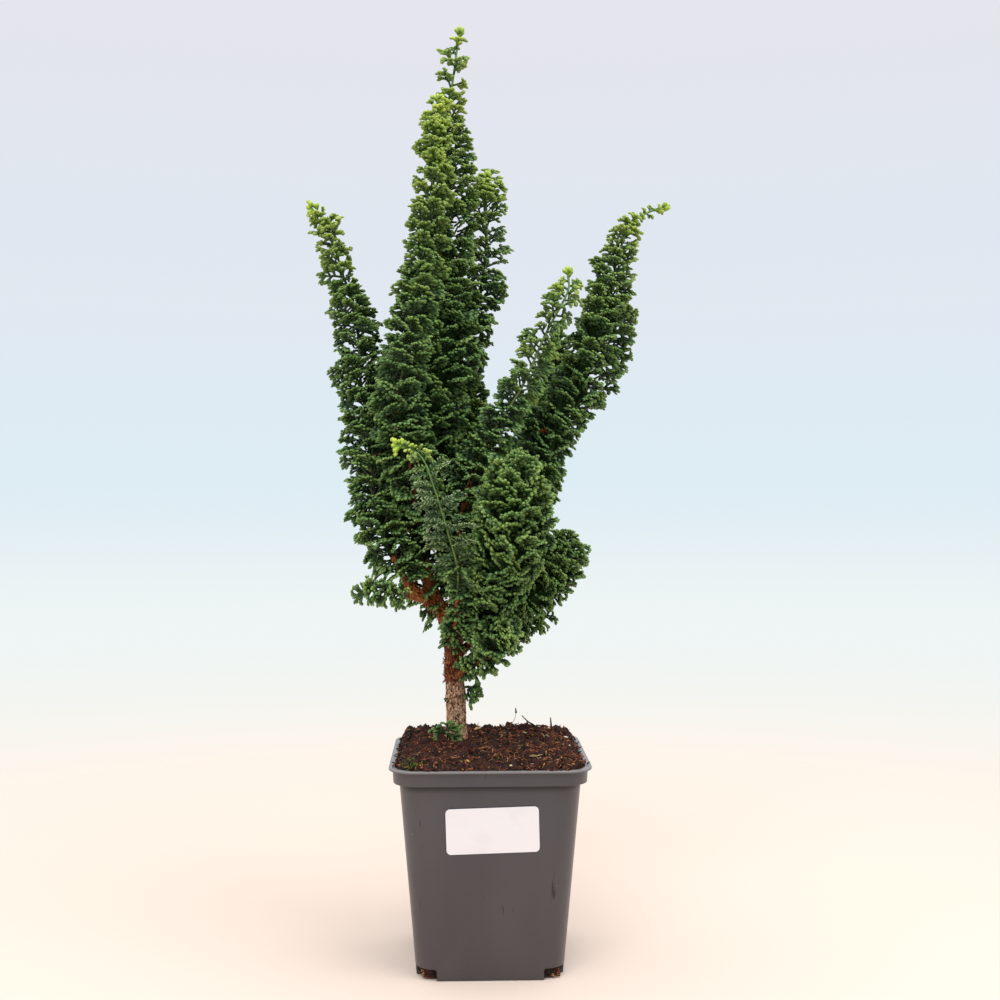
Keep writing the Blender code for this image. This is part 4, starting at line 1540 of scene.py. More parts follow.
    def spill_shape(self) -> Shape:
        """Shreds spilt along the wall, some of them on the inner edge of the pot's lip.

        Returns:
            The shreds.
        """
        draw, count = self.draw, self.spilt
        across = self.pot.band_half - self.pot.wall + draw.uniform(-2.2, 1.3, count)
        level = draw.uniform(-43, 43, count)
        quarter = draw.integers(0, 4, count) * math.pi / 2
        x = across * np.cos(quarter) - level * np.sin(quarter)
        y = across * np.sin(quarter) + level * np.cos(quarter)
        spots = np.stack([x, y, self.pot.height + draw.uniform(-0.1, 0.7, count)], axis=1)
        ways = level_ways(quarter + math.pi / 2 + draw.normal(0, 0.5, count), draw.uniform(-0.1, 0.5, count))
        spans = ((1.2, 3.6), (0.5, 1.2), (0.4, 0.8))
        sizes = np.stack([draw.uniform(*span, count) for span in spans], axis=1)
        shape = self.sliver.copies(spots, unit(ways), unit(draw.normal(0, 1, (count, 3))), sizes)
        tints = draw.choice([0.03, 0.14, 0.3, 0.5], count, p=[0.35, 0.3, 0.2, 0.15])
        return shape.mark("tint", self.sliver.each(tints))

    def fibre_shapes(self) -> list[Shape]:
        """Fine root and bark fibres lying on the top and curling up a little.

        Returns:
            A shape for each fibre.
        """
        draw, shapes = self.draw, []
        for spot in self.scatter(self.fibres, 5.0):
            length = draw.uniform(2.5, 9)
            way = level_ways(draw.uniform(0, 2 * math.pi))
            side = np.array([-way[1], way[0], 0.0])
            bend, rise = draw.normal(0, 0.3) * length, draw.uniform(0.1, 0.62) * length ** 0.75
            line = [spot - way * length / 2 - [0, 0, 0.3], spot + side * bend * 0.6 + [0, 0, rise * 0.7],
                    spot + way * length * 0.35 - side * bend + [0, 0, rise * draw.uniform(0.2, 1.3)]]
            path = smooth_path(line, length / 3.4)
            thick = draw.uniform(0.14, 0.38)
            shape = self.keep_inside(limb(path, np.linspace(thick, thick * 0.5, len(path)), 3))
            tint = draw.choice([0.2, 0.34, 0.43, 0.5, 0.6, 0.84], p=[0.16, 0.26, 0.26, 0.2, 0.08, 0.04])
            shapes.append(shape.mark("tint", float(tint)))
        return shapes

    def chip_shape(self) -> Shape:
        """Flat pale chips of wood, husk and dead leaf.

        Returns:
            The chips, the named bits first.
        """
        draw, count = self.draw, self.chips
        spots = self.scatter(count, 3.0)
        ways = unit(level_ways(draw.uniform(0, 2 * math.pi, count), draw.normal(0, 0.25, count)))
        normals = unit(draw.normal(0, 0.35, (count, 3)) + [0, 0, 1])
        length = draw.uniform(1.5, 4.2, count)
        width = length * draw.uniform(0.3, 0.7, count)
        sizes = np.stack([length, width, draw.uniform(0.4, 0.8, count)], axis=1)
        tints = draw.choice([0.62, 0.74, 0.86, 0.98], count, p=[0.45, 0.25, 0.2, 0.1])
        named = np.array(self.bits)
        few = len(named)
        spots[:few], sizes[:few], tints[:few] = named[:, :3], named[:, 3:4] * [1.0, 0.62, 0.3], named[:, 4]
        shape = self.crumb.copies(spots + [0, 0, 0.9], ways, normals, sizes)
        return shape.mark("tint", self.crumb.each(tints))

    def corner_roots(self) -> list[Shape]:
        """Fine roots that show where the pot's corners are cut away.

        Returns:
            A shape for each root.
        """
        draw, shapes = self.draw, []
        corners = [(side_x, side_y) for side_x in (-1, 1) for side_y in (-1, 1)]
        for corner in corners:
            for _ in range(self.corner_fibres):
                span = draw.uniform(30.5, 38.0, (3, 2)) * corner
                path = smooth_path(np.column_stack([span, draw.uniform(0.8, 5.6, 3)]), 2.2)
                path = np.clip(path, [-38.6, -38.6, 0.6], [38.6, 38.6, np.inf])
                shape = limb(path, np.full(len(path), draw.uniform(0.25, 0.55)), 4)
                shapes.append(shape.mark("tint", float(draw.uniform(0.25, 0.6))))
        return shapes

    def twig_shapes(self) -> list[Shape]:
        """The dead twigs that stand and lie on the soil.

        Returns:
            A shape for each twig.
        """
        shapes = []
        for waypoints, thick, thin in self.twigs:
            path = smooth_path(waypoints, 1.2)
            shape = limb(path, np.linspace(thick, thin, len(path)), 6, relief=0.3, grain=(1.2, 0.4))
            shapes.append(shape.mark("tint", 0.02 if thick > 0.45 else 0.6))
        return shapes

    def moss_shape(self) -> Shape:
        """Tufts of moss in the front left corner, with a few elsewhere.

        Returns:
            The tufts.
        """
        draw, count = self.draw, self.moss
        near = draw.uniform(0, 1, count) < 0.72
        corner = np.stack([draw.normal(-42.5, 3.4, count), draw.normal(-42.0, 3.6, count)], axis=1)
        loose = draw.uniform(-44, 44, (count, 2))
        flat = np.clip(np.where(near[:, None], corner, loose), -47.5, 47.5)
        spots = np.column_stack([flat, self.height(flat[:, 0], flat[:, 1])])
        ways = unit(draw.normal(0, 0.5, (count, 3)) + [0, 0, 1])
        sizes = np.stack([draw.uniform(1.2, 2.8, count), np.full(count, 0.7), np.full(count, 0.6)], axis=1)
        shape = self.branchlet.copies(spots, ways, unit(draw.normal(0, 1, (count, 3))), sizes)
        return shape.mark("tint", 0.0).mark("moss", 1.0)

    def build(self, finish: Material) -> None:
        """Makes the soil's one piece.

        Args:
            finish: the soil's material.
        """
        self.draw = np.random.default_rng(SEED + SOIL)
        shapes = [self.plug(), self.crumb_shape(), self.chip_shape(), self.moss_shape(), self.shred_shape(),
                  *self.fibre_shapes(), *self.corner_roots(), *self.twig_shapes(), self.spill_shape()]
        settle(piece_from("potting_soil", merged(shapes), finish), "soil")


# Finishes


# Of a mix node, input 0 is the share, and 6 and 7 are the two colours. Of a range node, 1 and 2 are
# the limits it reads, and 3 and 4 the ones it gives. A math node's inputs are in order.
COLOURS = {"data_type": "RGBA"}


@dataclass(frozen=True)
class ScaleLeaves:
    """Living hinoki scale leaves: waxy, deep green, lighter at each tip, yellow-green when young, with
    painted shade at the feet of tips, on the twigs behind them and on a core inside thick shoots.
    """

    # deep and shade are the colours of painted shade.
    deep: str = "#22321b"
    shade: str = "#304925"
    blade: str = "#3f6130"
    tip: str = "#7a9e50"
    young: str = "#86a82e"
    young_tip: str = "#c8d95c"
    pale_blade: str = "#4b6b3a"
    pale_tip: str = "#9fb386"
    under: str = "#7b947a"
    dead: str = "#7a3d1f"
    old_stem: str = "#4d3420"
    green_stem: str = "#5e7d40"
    scale_edge: tuple[tuple[float, str], ...] = (
        (0.0, "#8a8a8a"), (0.12, "#c9c9c9"), (0.8, "#f4f4f4"), (1.0, "#ffffff"))
    scale_length: float = 1.7
    silver: float = 0.14
    roughness: float = 0.48
    gloss: float = 0.34

    def make(self) -> Material:
        """Builds the material.

        Returns:
            The material, which reads the marks tip, tone, young, pale, under, wood, dead and deep.
        """
        made, add = new_material("hinoki_scale_leaves")
        tip, tone, young, pale, under, wood, dead, deep = [
            add("Attribute", {"attribute_name": mark}).outputs["Fac"]
            for mark in ("tip", "tone", "young", "pale", "under", "wood", "dead", "deep")]
        # The ramp's dark end, the deep and shade colours, is painted shade at the feet of tips and on the
        # twigs behind them.
        old = add("ValToRGB", {"stops": [
            (0.0, self.deep), (0.2, self.shade), (0.6, self.blade), (1.0, self.tip)]}, {0: tip})
        fresh = add("ValToRGB", {"stops": [
            (0.0, self.blade), (0.4, self.young), (1.0, self.young_tip)]}, {0: tip})
        faded = add("ValToRGB", {"stops": [
            (0.1, self.shade), (0.3, self.pale_blade), (1.0, self.pale_tip)]}, {0: tip})
        settled = add("Mix", COLOURS, {0: pale, 6: old, 7: faded})
        grown = add("Mix", COLOURS, {0: young, 6: settled, 7: fresh})
        wax = add("Math", {"operation": "MULTIPLY", 1: self.silver}, {0: under})
        waxed = add("Mix", {**COLOURS, 7: self.under}, {0: wax, 6: grown})
        value = add("MapRange", {3: 0.72, 4: 1.36}, {0: tone})
        hue = add("MapRange", {3: 0.515, 4: 0.485}, {0: tone})
        toned = add("HueSaturation", {}, {"Color": waxed, "Value": value, "Hue": hue})
        flow = add("SeparateXYZ", {}, {0: add("UVMap", {"uv_map": "flow"})})
        away = add("Math", {"operation": "ABSOLUTE"}, {0: flow.outputs["X"]})
        chevron = add("Math", {"operation": "MULTIPLY_ADD", 1: -0.9}, {0: away, 2: flow.outputs["Y"]})
        count = add("Math", {"operation": "DIVIDE", 1: self.scale_length}, {0: chevron})
        scale = add("Math", {"operation": "FRACT"}, {0: count})
        edge = add("ValToRGB", {"stops": self.scale_edge}, {0: scale})
        scaled = add("Mix", {**COLOURS, "blend_type": "MULTIPLY", 0: 0.75}, {6: toned, 7: edge})
        stem = add("ValToRGB", {"stops": [(0.05, self.old_stem), (0.35, self.green_stem)]}, {0: young})
        stemmed = add("Mix", COLOURS, {0: wood, 6: scaled, 7: stem})
        leaf = add("Mix", {**COLOURS, 7: self.dead}, {0: dead, 6: stemmed})
        # Painted shade: where the mark deep is set, the core is a mottled dark green between the deep and
        # shade colours, with no shine.
        mottle = add("TexNoise", {"Scale": 260.0, "Detail": 3.0}, {0: add("TexCoord").outputs["Object"]})
        inner = add("ValToRGB", {"stops": [(0.35, self.deep), (0.7, self.shade)]}, {0: mottle})
        final = add("Mix", COLOURS, {0: deep, 6: leaf, 7: inner})
        bump = add("Bump", {"Strength": 0.35, "Distance": 0.0002}, {"Height": edge})
        shine = add("MapRange", {3: self.gloss, 4: 0.0}, {0: deep})
        surface = add("BsdfPrincipled", {"Roughness": self.roughness},
                      {"Base Color": final, "Normal": bump, "Specular IOR Level": shine})
        add("OutputMaterial", {}, {"Surface": surface})
        return made


@dataclass(frozen=True)
class FibrousBark:
    """Cypress bark: dull and fibrous, grey tan at the foot, dark red brown above, orange at the fork."""

    foot_dark: str = "#523626"
    foot_light: str = "#dcb391"
    upper_dark: str = "#2c120c"
    upper_light: str = "#8a5038"
    fork_dark: str = "#5a2a14"
    fork_light: str = "#cc7f49"
    roughness: float = 0.9
    gloss: float = 0.2

    def make(self) -> Material:
        """Builds the material.

        Returns:
            The material, which reads the marks red and tone.
        """
        made, add = new_material("fibrous_bark")
        red, tone = [add("Attribute", {"attribute_name": mark}).outputs["Fac"] for mark in ("red", "tone")]
        place = add("TexCoord").outputs["Object"]
        stretch = add("Mapping", {"Scale": (900.0, 900.0, 240.0)}, {0: place})
        fibre = add("TexNoise", {"Scale": 1.0, "Detail": 5.0, "Roughness": 0.65}, {0: stretch})
        patch = add("TexNoise", {"Scale": 380.0, "Detail": 3.0}, {0: place})
        grain = add("Math", {"operation": "MULTIPLY_ADD", 1: 0.9}, {0: tone, 2: fibre})
        mixed = add("Math", {"operation": "MULTIPLY_ADD", 1: 0.7}, {0: patch, 2: grain})
        shade = add("MapRange", {1: 0.9, 2: 1.5}, {0: mixed})
        dark = add("ValToRGB", {"stops": [
            (0.0, self.foot_dark), (0.5, self.upper_dark), (1.0, self.fork_dark)]}, {0: red})
        light = add("ValToRGB", {"stops": [
            (0.0, self.foot_light), (0.5, self.upper_light), (1.0, self.fork_light)]}, {0: red})
        colour = add("Mix", COLOURS, {0: shade, 6: dark, 7: light})
        bump = add("Bump", {"Strength": 0.9, "Distance": 0.0006}, {"Height": fibre})
        surface = add("BsdfPrincipled", {"Roughness": self.roughness, "Specular IOR Level": self.gloss},
                      {"Base Color": colour, "Normal": bump})
        add("OutputMaterial", {}, {"Surface": surface})
        return made


@dataclass(frozen=True)
class FibrousSoil:
    """Damp peat and bark soil: dark red-brown crumbs, rusty fibres, yellow and pale bits, moss."""

    tints: tuple[tuple[float, str], ...] = (
        (0.0, "#120a08"), (0.14, "#34190f"), (0.34, "#66331f"), (0.5, "#8f4f33"), (0.62, "#b58256"),
        (0.76, "#c99a4e"), (0.88, "#d3b795"), (1.0, "#eadfce"))
    moss: str = "#44601f"
    roughness: float = 0.85
    gloss: float = 0.3

    def make(self) -> Material:
        """Builds the material.

        Returns:
            The material, which reads the marks tint and moss.
        """
        made, add = new_material("fibrous_potting_soil")
        tint, moss = [add("Attribute", {"attribute_name": mark}).outputs["Fac"] for mark in ("tint", "moss")]
        place = add("TexCoord").outputs["Object"]
        grit = add("TexNoise", {"Scale": 900.0, "Detail": 4.0}, {0: place})
        shift = add("MapRange", {3: -0.10, 4: 0.14}, {0: grit})
        mixed = add("Math", {"operation": "ADD", "use_clamp": True}, {0: tint, 1: shift})
        colour = add("ValToRGB", {"stops": self.tints}, {0: mixed})
        final = add("Mix", {**COLOURS, 7: self.moss}, {0: moss, 6: colour})
        bump = add("Bump", {"Strength": 0.6, "Distance": 0.0005}, {"Height": grit})
        surface = add("BsdfPrincipled", {"Roughness": self.roughness, "Specular IOR Level": self.gloss},
                      {"Base Color": final, "Normal": bump})
        add("OutputMaterial", {}, {"Surface": surface})
        return made


@dataclass(frozen=True)
class PotPlastic:
    """Blow-moulded polypropylene: satin dark grey, faintly mottled and scuffed, with a painted highlight
    along its rim.

    Heights are in metres. The body turns cooler between the two of `cooler`. Shade under the band's
    overhang is painted on: the body darkens towards the band between those of `painted_band_shade`,
    as far as `band`, and a painted highlight pales the rim between those of `rim_highlight`.
    """

    body: str = "#363335"
    cool: str = "#35363c"
    mottle: str = "#4e4a4c"
    scuff: str = "#8d8684"
    scratch: str = "#1f1b1c"
    # rim is the colour of a painted highlight along the top of the lip.
    rim: str = "#85807f"
    roughness: float = 0.31
    cooler: Pair = (0.03, 0.09)
    painted_band_shade: Pair = (0.1030, 0.1068)
    band: float = 0.1076
    rim_highlight: Pair = (0.1146, 0.1156)

    def make(self) -> Material:
        """Builds the material.

        Returns:
            The material, all of it from places on the pot.
        """
        made, add = new_material("satin_polypropylene")
        place = add("TexCoord").outputs["Object"]
        streaks = add("Mapping", {"Scale": (34.0, 34.0, 10.0)}, {0: place})
        cloud = add("TexNoise", {"Scale": 1.0, "Detail": 5.0}, {0: streaks})
        height = add("SeparateXYZ", {}, {0: place}).outputs["Z"]
        upper = add("MapRange", {1: self.cooler[0], 2: self.cooler[1]}, {0: height})
        ground = add("Mix", {**COLOURS, 6: self.body, 7: self.cool}, {0: upper})
        base = add("Mix", {**COLOURS, 7: self.mottle}, {0: cloud, 6: ground})
        stretch = add("Mapping", {"Scale": (420.0, 420.0, 34.0), "Rotation": (0, 0.16, 0)}, {0: place})
        lines = add("TexNoise", {"Scale": 1.0, "Detail": 2.0}, {0: stretch})
        fine = add("MapRange", {1: 0.67, 2: 0.74}, {0: lines})
        where = add("TexNoise", {"Scale": 40.0, "Detail": 1.0}, {0: place})
        some = add("MapRange", {1: 0.52, 2: 0.62}, {0: where})
        scratched = add("Math", {"operation": "MULTIPLY"}, {0: fine, 1: some})
        marked = add("Mix", {**COLOURS, 7: self.scratch}, {0: scratched, 6: base})
        specks = add("TexVoronoi", {"Scale": 95.0, "Randomness": 1.0}, {"Vector": place})
        dots = add("MapRange", {1: 0.040, 2: 0.022, 3: 0.0, 4: 0.7}, {0: specks})
        dusty = add("Math", {"operation": "MULTIPLY"}, {0: dots, 1: some})
        speckled = add("Mix", {**COLOURS, 7: self.scuff}, {0: dusty, 6: marked})
        # Painted shade: the body is darkened just under the band, where the band's overhang shades the wall.
        under = add("MapRange", {"interpolation_type": "SMOOTHSTEP", 1: self.painted_band_shade[0],
                                 2: self.painted_band_shade[1], 3: 1.0, 4: 0.08}, {0: height})
        band = add("Math", {"operation": "GREATER_THAN", 1: self.band}, {0: height})
        lit = add("Math", {"operation": "MAXIMUM"}, {0: under, 1: band})
        shaded = add("Mix", {**COLOURS, "blend_type": "MULTIPLY", 0: 1.0}, {6: speckled, 7: lit})
        # Painted highlight: the top of the lip is paled towards the rim colour, as where it catches the
        # light.
        rim_highlight = add("MapRange", {1: self.rim_highlight[0], 2: self.rim_highlight[1], 3: 0.0, 4: 0.68}, {0: height})
        rimmed = add("Mix", {**COLOURS, 7: self.rim}, {0: rim_highlight, 6: shaded})
        rough = add("MapRange", {3: self.roughness - 0.05, 4: self.roughness + 0.1}, {0: cloud})
        texture = add("TexNoise", {"Scale": 1500.0, "Detail": 2.0}, {0: place})
        bump = add("Bump", {"Strength": 0.12, "Distance": 0.0002}, {"Height": texture})
        surface = add("BsdfPrincipled", {}, {"Base Color": rimmed, "Roughness": rough, "Normal": bump})
        add("OutputMaterial", {}, {"Surface": surface})
        return made


@dataclass(frozen=True)
class StickerPaper:
    """Coated label paper: smooth, faintly pink white, a little grubby in patches."""

    white: str = "#e6e2e4"
    grubby: str = "#ddd8da"
    roughness: float = 0.38

    def make(self) -> Material:
        """Builds the material.

        Returns:
            The material, all of it from places on the label.
        """
        made, add = new_material("coated_label_paper")
        place = add("TexCoord").outputs["Object"]
        cloud = add("TexNoise", {"Scale": 60.0, "Detail": 4.0}, {0: place})
        shade = add("MapRange", {1: 0.5, 2: 0.8}, {0: cloud})
        colour = add("Mix", {**COLOURS, 6: self.white, 7: self.grubby}, {0: shade})
        fibre = add("TexNoise", {"Scale": 2400.0, "Detail": 2.0}, {0: place})
        bump = add("Bump", {"Strength": 0.08, "Distance": 0.0001}, {"Height": fibre})
        surface = add("BsdfPrincipled", {"Roughness": self.roughness},
                      {"Base Color": colour, "Normal": bump})
        add("OutputMaterial", {}, {"Surface": surface})
        return made


# The plant's plan: where its wood and its shoots go


TRUNK = [
    (-18, 2, 100), (-18, 2, 112), (-18, 2, 121), (-19, 2, 145), (-20, 1, 168), (-22, 0, 184),
    (-26, -2, 196), (-32, -3, 207), (-37, -4, 225), (-40, -3, 248), (-40, 0, 271), (-39, 2, 294),
    (-35, 4, 317), (-31, 5, 342), (-28, 5, 375),
]
TRUNK_RADII = [(100, 8.2), (112, 8.6), (121, 7.6), (133, 6.4), (160, 6.0), (172, 5.4), (196, 5.0),
               (225, 3.8), (271, 3.0), (317, 2.2), (375, 1.4)]
BRANCHES = {
    "second_leader": ([(-39, -3, 240), (-43, -16, 268), (-49, -24, 300), (-50, -27, 320)], 2.6, 1.3),
    "left": ([(-28, -3, 197), (-36, -8, 205), (-45, -12, 212), (-57, -14, 234)], 3.8, 1.6),
    "right_centre": ([(-37, 3, 300), (-29, 14, 314), (-20, 20, 336)], 1.8, 1.3),
    "middle": ([(-22, 0, 186), (-18, -5, 215), (-16, -6, 248), (-8, -14, 279)], 3.2, 1.4),
    "right": ([(-20, 2, 170), (-11, 8, 202), (2, 12, 227), (16, 12, 257), (30, 10, 288),
               (49, 6, 325)], 3.8, 1.4),
    "front": ([(-21, -1, 178), (-19, -16, 190), (-18, -32, 206)], 2.4, 1.3),
    "low_right": ([(-20, 2, 166), (-8, 0, 182), (12, -4, 200)], 2.8, 1.4),
    "low_front": ([(-20, 0, 158), (-10, -13, 167), (0, -24, 173)], 2.4, 1.3),
    "low_back": ([(-20, 3, 162), (-6, 15, 172), (10, 22, 180)], 2.4, 1.3),
    "low_left": ([(-31, -3, 204), (-38, -16, 204), (-47, -26, 208)], 2.0, 1.3),
    "dome": ([(-21, -1, 174), (-8, -14, 194), (4, -28, 216)], 2.6, 1.4),
    "back": ([(-24, 0, 186), (-16, 24, 200), (-10, 38, 222)], 2.6, 1.4),
    "back_left": ([(-38, -3, 232), (-48, 14, 248), (-55, 26, 266)], 2.2, 1.3),
    "back_right": ([(2, 12, 227), (12, 26, 246), (20, 36, 268)], 2.2, 1.3),
}


def plumes() -> list[Plume]:
    """The leafy shoots.

    Returns:
        The shoots, in the order of their random draws.
    """
    return [
        Plume("leader", "trunk", 0.325,
              [(-24, 4, 409), (-23, 3, 443), (-24, 2, 466), (-22, 2, 489), (-19, 2, 512), (-17, 2, 528)],
              [(205, 13, 16), (230, 18, 20), (260, 22, 22), (290, 25, 25), (320, 25, 26), (350, 26, 26),
               (366, 25, 24), (383, 23, 22), (400, 20, 19), (417, 16, 17), (434, 14, 17), (460, 12, 17),
               (475, 9, 12), (483, 8, 8), (490, 7, 9), (499, 11, 10), (512, 10, 9), (520, 7, 7),
               (530, 4, 4)],
              grown=0.86, light=(0, 0, 0, 0.04, 0.12, 0.32, 0.66), cell=98, thinned=(0.88, 1.0), apart=1.9),
        Plume("second_leader", "second_leader", 0.05,
              [(-47, -28, 335), (-41, -26, 370), (-36, -22, 404), (-32, -16, 438), (-30, -14, 461),
               (-29, -12, 485)],
              [(236, 16, 16), (290, 17, 17), (335, 15, 16), (356, 14, 16), (370, 13, 15), (404, 10, 14),
               (438, 10, 13), (461, 10, 11), (478, 8, 8), (488, 5, 5)],
              grown=0.80, light=(0, 0, 0, 0.06, 0.22, 0.5, 0.8), cell=92),
        Plume("left_plume", "left", 0.5,
              [(-64, -12, 259), (-67, -8, 282), (-69, -5, 305), (-73, -3, 329), (-74, -2, 350),
               (-77, -2, 370), (-84, 0, 391), (-89, 2, 408), (-94, 2, 421), (-101, 0, 425)],
              [(216, 14, 18), (237, 17, 17), (254, 17, 16), (271, 15, 15), (289, 17, 15),
               (306, 15, 15), (331, 15, 13), (340, 18, 13), (349, 14, 11), (366, 15, 14), (375, 16, 9),
               (383, 11, 7), (392, 13, 7), (401, 12, 8), (410, 12, 6), (418, 12, 9), (430, 6, 6)],
              grown=0.88, light=(0, 0, 0, 0, 0.06, 0.3, 0.9), cell=92),
        Plume("right_centre_plume", "right_centre", 0.6,
              [(-12, 22, 361), (-6, 22, 377), (-1, 20, 406), (-1, 18, 424), (-1, 16, 449)],
              [(318, 16, 14), (345, 15, 19), (361, 15, 19), (377, 12, 18), (398, 8, 13), (410, 8, 13),
               (424, 9, 12), (433, 13, 11), (443, 14, 13), (450, 7, 7)],
              grown=0.78, light=(0, 0, 0.05, 0.2, 0.8), cell=98),
        Plume("middle_plume", "middle", 0.28,
              [(1, -18, 296), (10, -20, 310), (19, -20, 325), (32, -19, 354), (44, -16, 377),
               (44, -14, 388)],
              [(205, 10, 14), (230, 18, 18), (270, 20, 20), (300, 18, 17), (326, 16, 14), (346, 15, 12),
               (366, 13, 11), (374, 13, 13), (382, 9, 10), (390, 5, 6)],
              grown=0.90, depth=0.7, flat=0.95, flat_from=0.55, light=(0, 0, 0, 0, 0.1, 0.2, 0.85), cell=84,
              bend=0.3, thinned=(0.58, 1.0), apart=1.5),
        Plume("right_plume", "right", 0.26,
              [(59, 4, 349), (65, 2, 366), (70, 2, 380), (74, 2, 398), (81, 2, 418), (90, 2, 425),
               (101, 2, 429)],
              [(200, 14, 14), (235, 22, 22), (254, 26, 24), (272, 25, 22), (290, 23, 18), (302, 22, 18),
               (325, 17, 25), (343, 13, 25), (352, 13, 27), (362, 13, 31), (375, 13, 26), (384, 13, 14),
               (392, 13, 13), (403, 15, 11), (409, 9, 10), (418, 12, 8), (424, 8, 7), (431, 5, 5)],
              grown=0.83, light=(0, 0, 0, 0.04, 0.2, 0.8), cell=104),
        Plume("front_plume", "front", 0.0,
              [(-18, -46, 224), (-23, -56, 243), (-27, -60, 257), (-31, -62, 269), (-34, -62, 278),
               (-39, -61, 285), (-49, -60, 288)],
              [(178, 15, 17), (190, 14, 18), (198, 11, 18), (205, 5, 19), (212, 6, 20), (224, 12, 20),
               (243, 17, 18), (264, 15, 16), (276, 12, 15), (284, 10, 11), (290, 7, 7)],
              grown=0.87, ferny_from=0.46, depth=0.6, flat=0.8, flat_from=0.36,
              light=(0, 0, 0, 0, 0, 0, 0, 0, 0, 0.05, 0.7, 1.0), cell=62, bend=0.3,
              thinned=(0.46, 0.87), apart=2.3),
        Plume("dome_plume", "dome", 0.30, [(10, -42, 238), (12, -50, 258), (12, -52, 274)],
              [(184, 14, 12), (200, 20, 19), (215, 23, 22), (238, 26, 26), (258, 24, 24), (276, 17, 17),
               (292, 9, 9)], light=(0, 0.05, 0.12), cell=70, bend=0.1, fold=0.5),
        Plume("back_plume", "back", 0.4,
              [(-8, 44, 246), (-8, 42, 272), (-12, 38, 300), (-13, 36, 328)],
              [(195, 14, 14), (222, 22, 22), (246, 27, 27), (272, 27, 27), (300, 25, 25), (328, 16, 16),
               (348, 7, 7)], cell=116, bend=0.12, fold=0.45, fold_sides=0.9),
        Plume("back_left_plume", "back_left", 0.40, [(-59, 30, 292), (-58, 32, 322), (-54, 30, 350)],
              [(240, 16, 16), (270, 20, 21), (292, 20, 21), (322, 16, 18), (350, 10, 10), (362, 6, 6)],
              cell=114, bend=0.12, fold=0.45, fold_sides=0.9),
        Plume("back_right_plume", "back_right", 0.40, [(28, 42, 298), (35, 42, 326), (42, 38, 352)],
              [(236, 16, 16), (268, 23, 22), (298, 23, 20), (326, 18, 16), (352, 10, 10), (364, 6, 6)],
              cell=114, bend=0.12, fold=0.45, fold_sides=0.9),
        Plume("low_right_spray", "low_right", 0.30, [(24, -8, 206), (36, -10, 218), (42, -10, 232)],
              [(176, 13, 14), (190, 17, 21), (205, 20, 21), (220, 22, 17), (235, 19, 15), (252, 10, 11)],
              bend=0.2, cell=85),
        Plume("low_front_spray", "low_front", 0.15, [(4, -30, 185), (10, -34, 189)],
              [(164, 11, 10), (172, 17, 14), (184, 20, 16), (196, 12, 10)], bend=0.25, cell=72),
        Plume("low_back_spray", "low_back", 0.45, [(21, 26, 187), (31, 27, 191)],
              [(160, 12, 12), (180, 16, 16), (195, 13, 11)], bend=0.35, cell=80),
        Plume("low_left_spray", "low_left", 0.9, [(-57, -32, 210), (-66, -35, 211)],
              [(193, 12, 5), (205, 17, 8), (222, 13, 9)], bend=0.3, cell=60),
    ]


def sprouts() -> list[Sprout]:
    """The small sprouts.

    Returns:
        Those low on the trunk.
    """
    return [
        Sprout("trunk_sprout", [(-13.5, 1.2, 153), (-9, -0.5, 153)],
               [((-11, 0, 153), (1, -0.2, 0.1), 8.0), ((-11, 0, 153), (0.7, -0.5, -0.8), 9.0),
                ((-12, 0, 152), (0.25, -0.3, -1), 8.5), ((-10, -1, 153), (0.9, -0.3, 0.6), 6.5),
                ((-12, 0, 153.5), (0.9, -0.6, -0.3), 7.5), ((-12, 0.5, 152), (0.6, 0.2, -0.6), 8.0),
                ((-23.6, -1, 161), (-0.8, -0.4, 0.2), 2.8), ((-23.2, -1, 147), (-0.9, -0.4, -0.3), 2.8)]),
        Sprout("base_sprout", [(-22.75, -3.95, 124.5), (-24, -8.5, 129)],
               [((-24, -8, 129), (0.75, -0.15, 0.7), 9.5), ((-24, -8, 128.5), (-0.9, -0.25, 0.25), 9.5),
                ((-23.5, -8, 128), (0.8, -0.45, -0.15), 10.0), ((-24, -7, 129), (0.1, -0.2, 1), 8.0)]),
    ]


# Studio


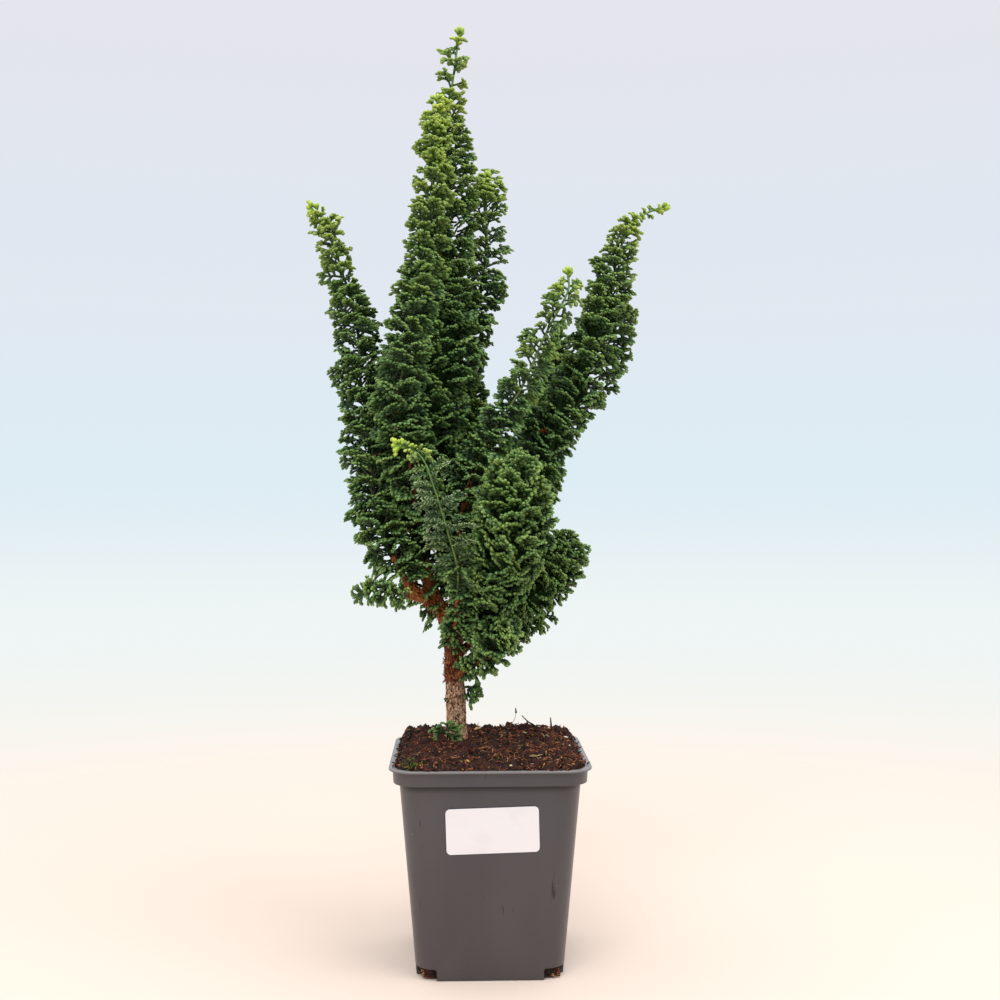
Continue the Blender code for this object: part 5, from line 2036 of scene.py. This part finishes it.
@dataclass
class Studio:
    """The pale floor that runs out into a plain sweep, soft lights and the front camera.

    The camera's place is in millimetres, and the floor and lights are in metres. The floor is solid
    as far as `floor_solid` from the middle. `room` is the light that comes from the front, as a share. A
    light has a name, a place, a side and a power in watts, and looks at `aim`.
    """

    camera_at: Point = (-17.3, -737.5, 260.1)
    camera_way: Point = (0.0322, 0.9995, 0.0)
    lens: float = 46.4
    floor_colour: str = "#d9c8bc"
    floor_radius: float = 0.95
    floor_solid: float = 0.17
    floor_sink: float = 0.0002
    room: float = 0.75
    sky: tuple[tuple[float, str], ...] = (
        (0.0, "#fef5ec"), (0.20, "#fbf6ee"), (0.30, "#eff5f4"), (0.42, "#deecf4"), (0.60, "#e1e7f0"),
        (0.75, "#e4e5ed"), (1.0, "#ffffff"))
    aim: Point = (0, 0, 0.28)
    lights: tuple[tuple[str, Point, float, float], ...] = (
        ("key", (-0.35, -1.1, 1.5), 0.8, 11), ("top", (0.55, -0.5, 1.55), 0.8, 8))

    def build_floor(self) -> None:
        """Adds the floor, a disc that fades into the surroundings towards its edge."""
        deselect()
        bpy.ops.mesh.primitive_circle_add(vertices=96, radius=self.floor_radius, fill_type="NGON",
                                          location=(0, 0, -self.floor_sink))
        floor = bpy.context.object
        floor.name = "studio_floor"
        made, add = new_material("pale_floor")
        place = add("TexCoord").outputs["Object"]
        away = add("VectorMath", {"operation": "LENGTH"}, {0: place}).outputs["Value"]
        fade = add("MapRange", {"interpolation_type": "SMOOTHERSTEP", 1: self.floor_solid,
                                2: self.floor_radius * 0.98, 3: 1.0, 4: 0.0}, {0: away})
        surface = add("BsdfPrincipled", {"Base Color": self.floor_colour, "Roughness": 1.0,
                                         "Specular IOR Level": 0.0}, {"Alpha": fade})
        add("OutputMaterial", {}, {"Surface": surface})
        floor.data.materials.append(made)
        floor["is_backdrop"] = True

    def build_world(self) -> None:
        """Adds the surroundings: warm white below, pale blue and grey above, bright overhead."""
        world = bpy.data.worlds.new("soft_studio")
        bpy.context.scene.world = world
        world.use_nodes = True
        tree = world.node_tree
        add = partial(add_node, tree)
        split = add("SeparateXYZ", {}, {0: add("TexCoord").outputs["Generated"]})
        height = add("MapRange", {1: -0.4, 2: 0.6}, {0: split.outputs["Z"]})
        ramp = add("ValToRGB", {"stops": self.sky}, {0: height})
        ramp.color_ramp.interpolation = "EASE"
        glow = add("MapRange", {1: 0.42, 2: 0.9, 3: 1.0, 4: 1.7}, {0: split.outputs["Z"]})
        depth = add("MapRange", {"interpolation_type": "SMOOTHSTEP", 1: -1.0, 2: -0.3,
                                 3: self.room, 4: 1.0}, {0: split.outputs["Y"]})
        strength = add("Math", {"operation": "MULTIPLY"}, {0: depth, 1: glow})
        back = tree.nodes["Background"]
        tree.links.new(ramp.outputs["Color"], back.inputs["Color"])
        tree.links.new(strength.outputs["Value"], back.inputs["Strength"])

    def add_light(self, name: str, place: Point, size: float, power: float) -> None:
        """Adds a soft light that looks at the plant's middle.

        Args:
            name: its name.
            place: where it is, in metres.
            size: its side, in metres.
            power: its power in watts.
        """
        data = bpy.data.lights.new(name, "AREA")
        data.size = size
        data.energy = power
        light = bpy.data.objects.new(name, data)
        bpy.context.scene.collection.objects.link(light)
        light.location = place
        light.rotation_euler = (Vector(self.aim) - Vector(place)).to_track_quat("-Z", "Y").to_euler()

    def build_camera(self) -> None:
        """Adds the camera, level, at the photograph's view."""
        data = bpy.data.cameras.new("front_view")
        data.lens = self.lens
        data.sensor_width = 36.0
        data.clip_start = 0.01
        camera = bpy.data.objects.new("front_view", data)
        bpy.context.scene.collection.objects.link(camera)
        camera.location = Vector(self.camera_at) * MM
        camera.rotation_euler = Vector(self.camera_way).to_track_quat("-Z", "Y").to_euler()
        bpy.context.scene.camera = camera

    def build(self) -> None:
        """Sets the whole studio up."""
        self.build_floor()
        self.build_world()
        for light in self.lights:
            self.add_light(*light)
        self.build_camera()
        bpy.context.scene.view_settings.view_transform = "Standard"


def main() -> None:
    """Builds the pieces in order, then the studio."""
    logging.basicConfig(level=logging.INFO, format="%(name)s: %(message)s")
    branchlet, twig, sliver, crumb = branchlet_master(), twig_master(), sliver_master(), crumb_master()
    pot = NurseryPot()
    pot.build(PotPlastic().make())
    BlankLabel().build(pot, StickerPaper().make())
    PottingSoil(pot, crumb, sliver, branchlet).build(FibrousSoil().make())
    wood = Wood(TRUNK, TRUNK_RADII, BRANCHES)
    wood.build(sliver, FibrousBark().make())
    store = SprayStore(branchlet, twig)
    green = ScaleLeaves().make()
    for order, plume in enumerate(plumes()):
        plume.build(wood, store, green, order)
    for order, sprout in enumerate(sprouts(), SPROUTS_FROM):
        sprout.build(store, green, order)
    Studio().build()
    total = sum(len(o.data.polygons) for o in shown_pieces() if o.type == "MESH")
    log.info("all pieces: %d faces", total)


if __name__ == "__main__":
    main()
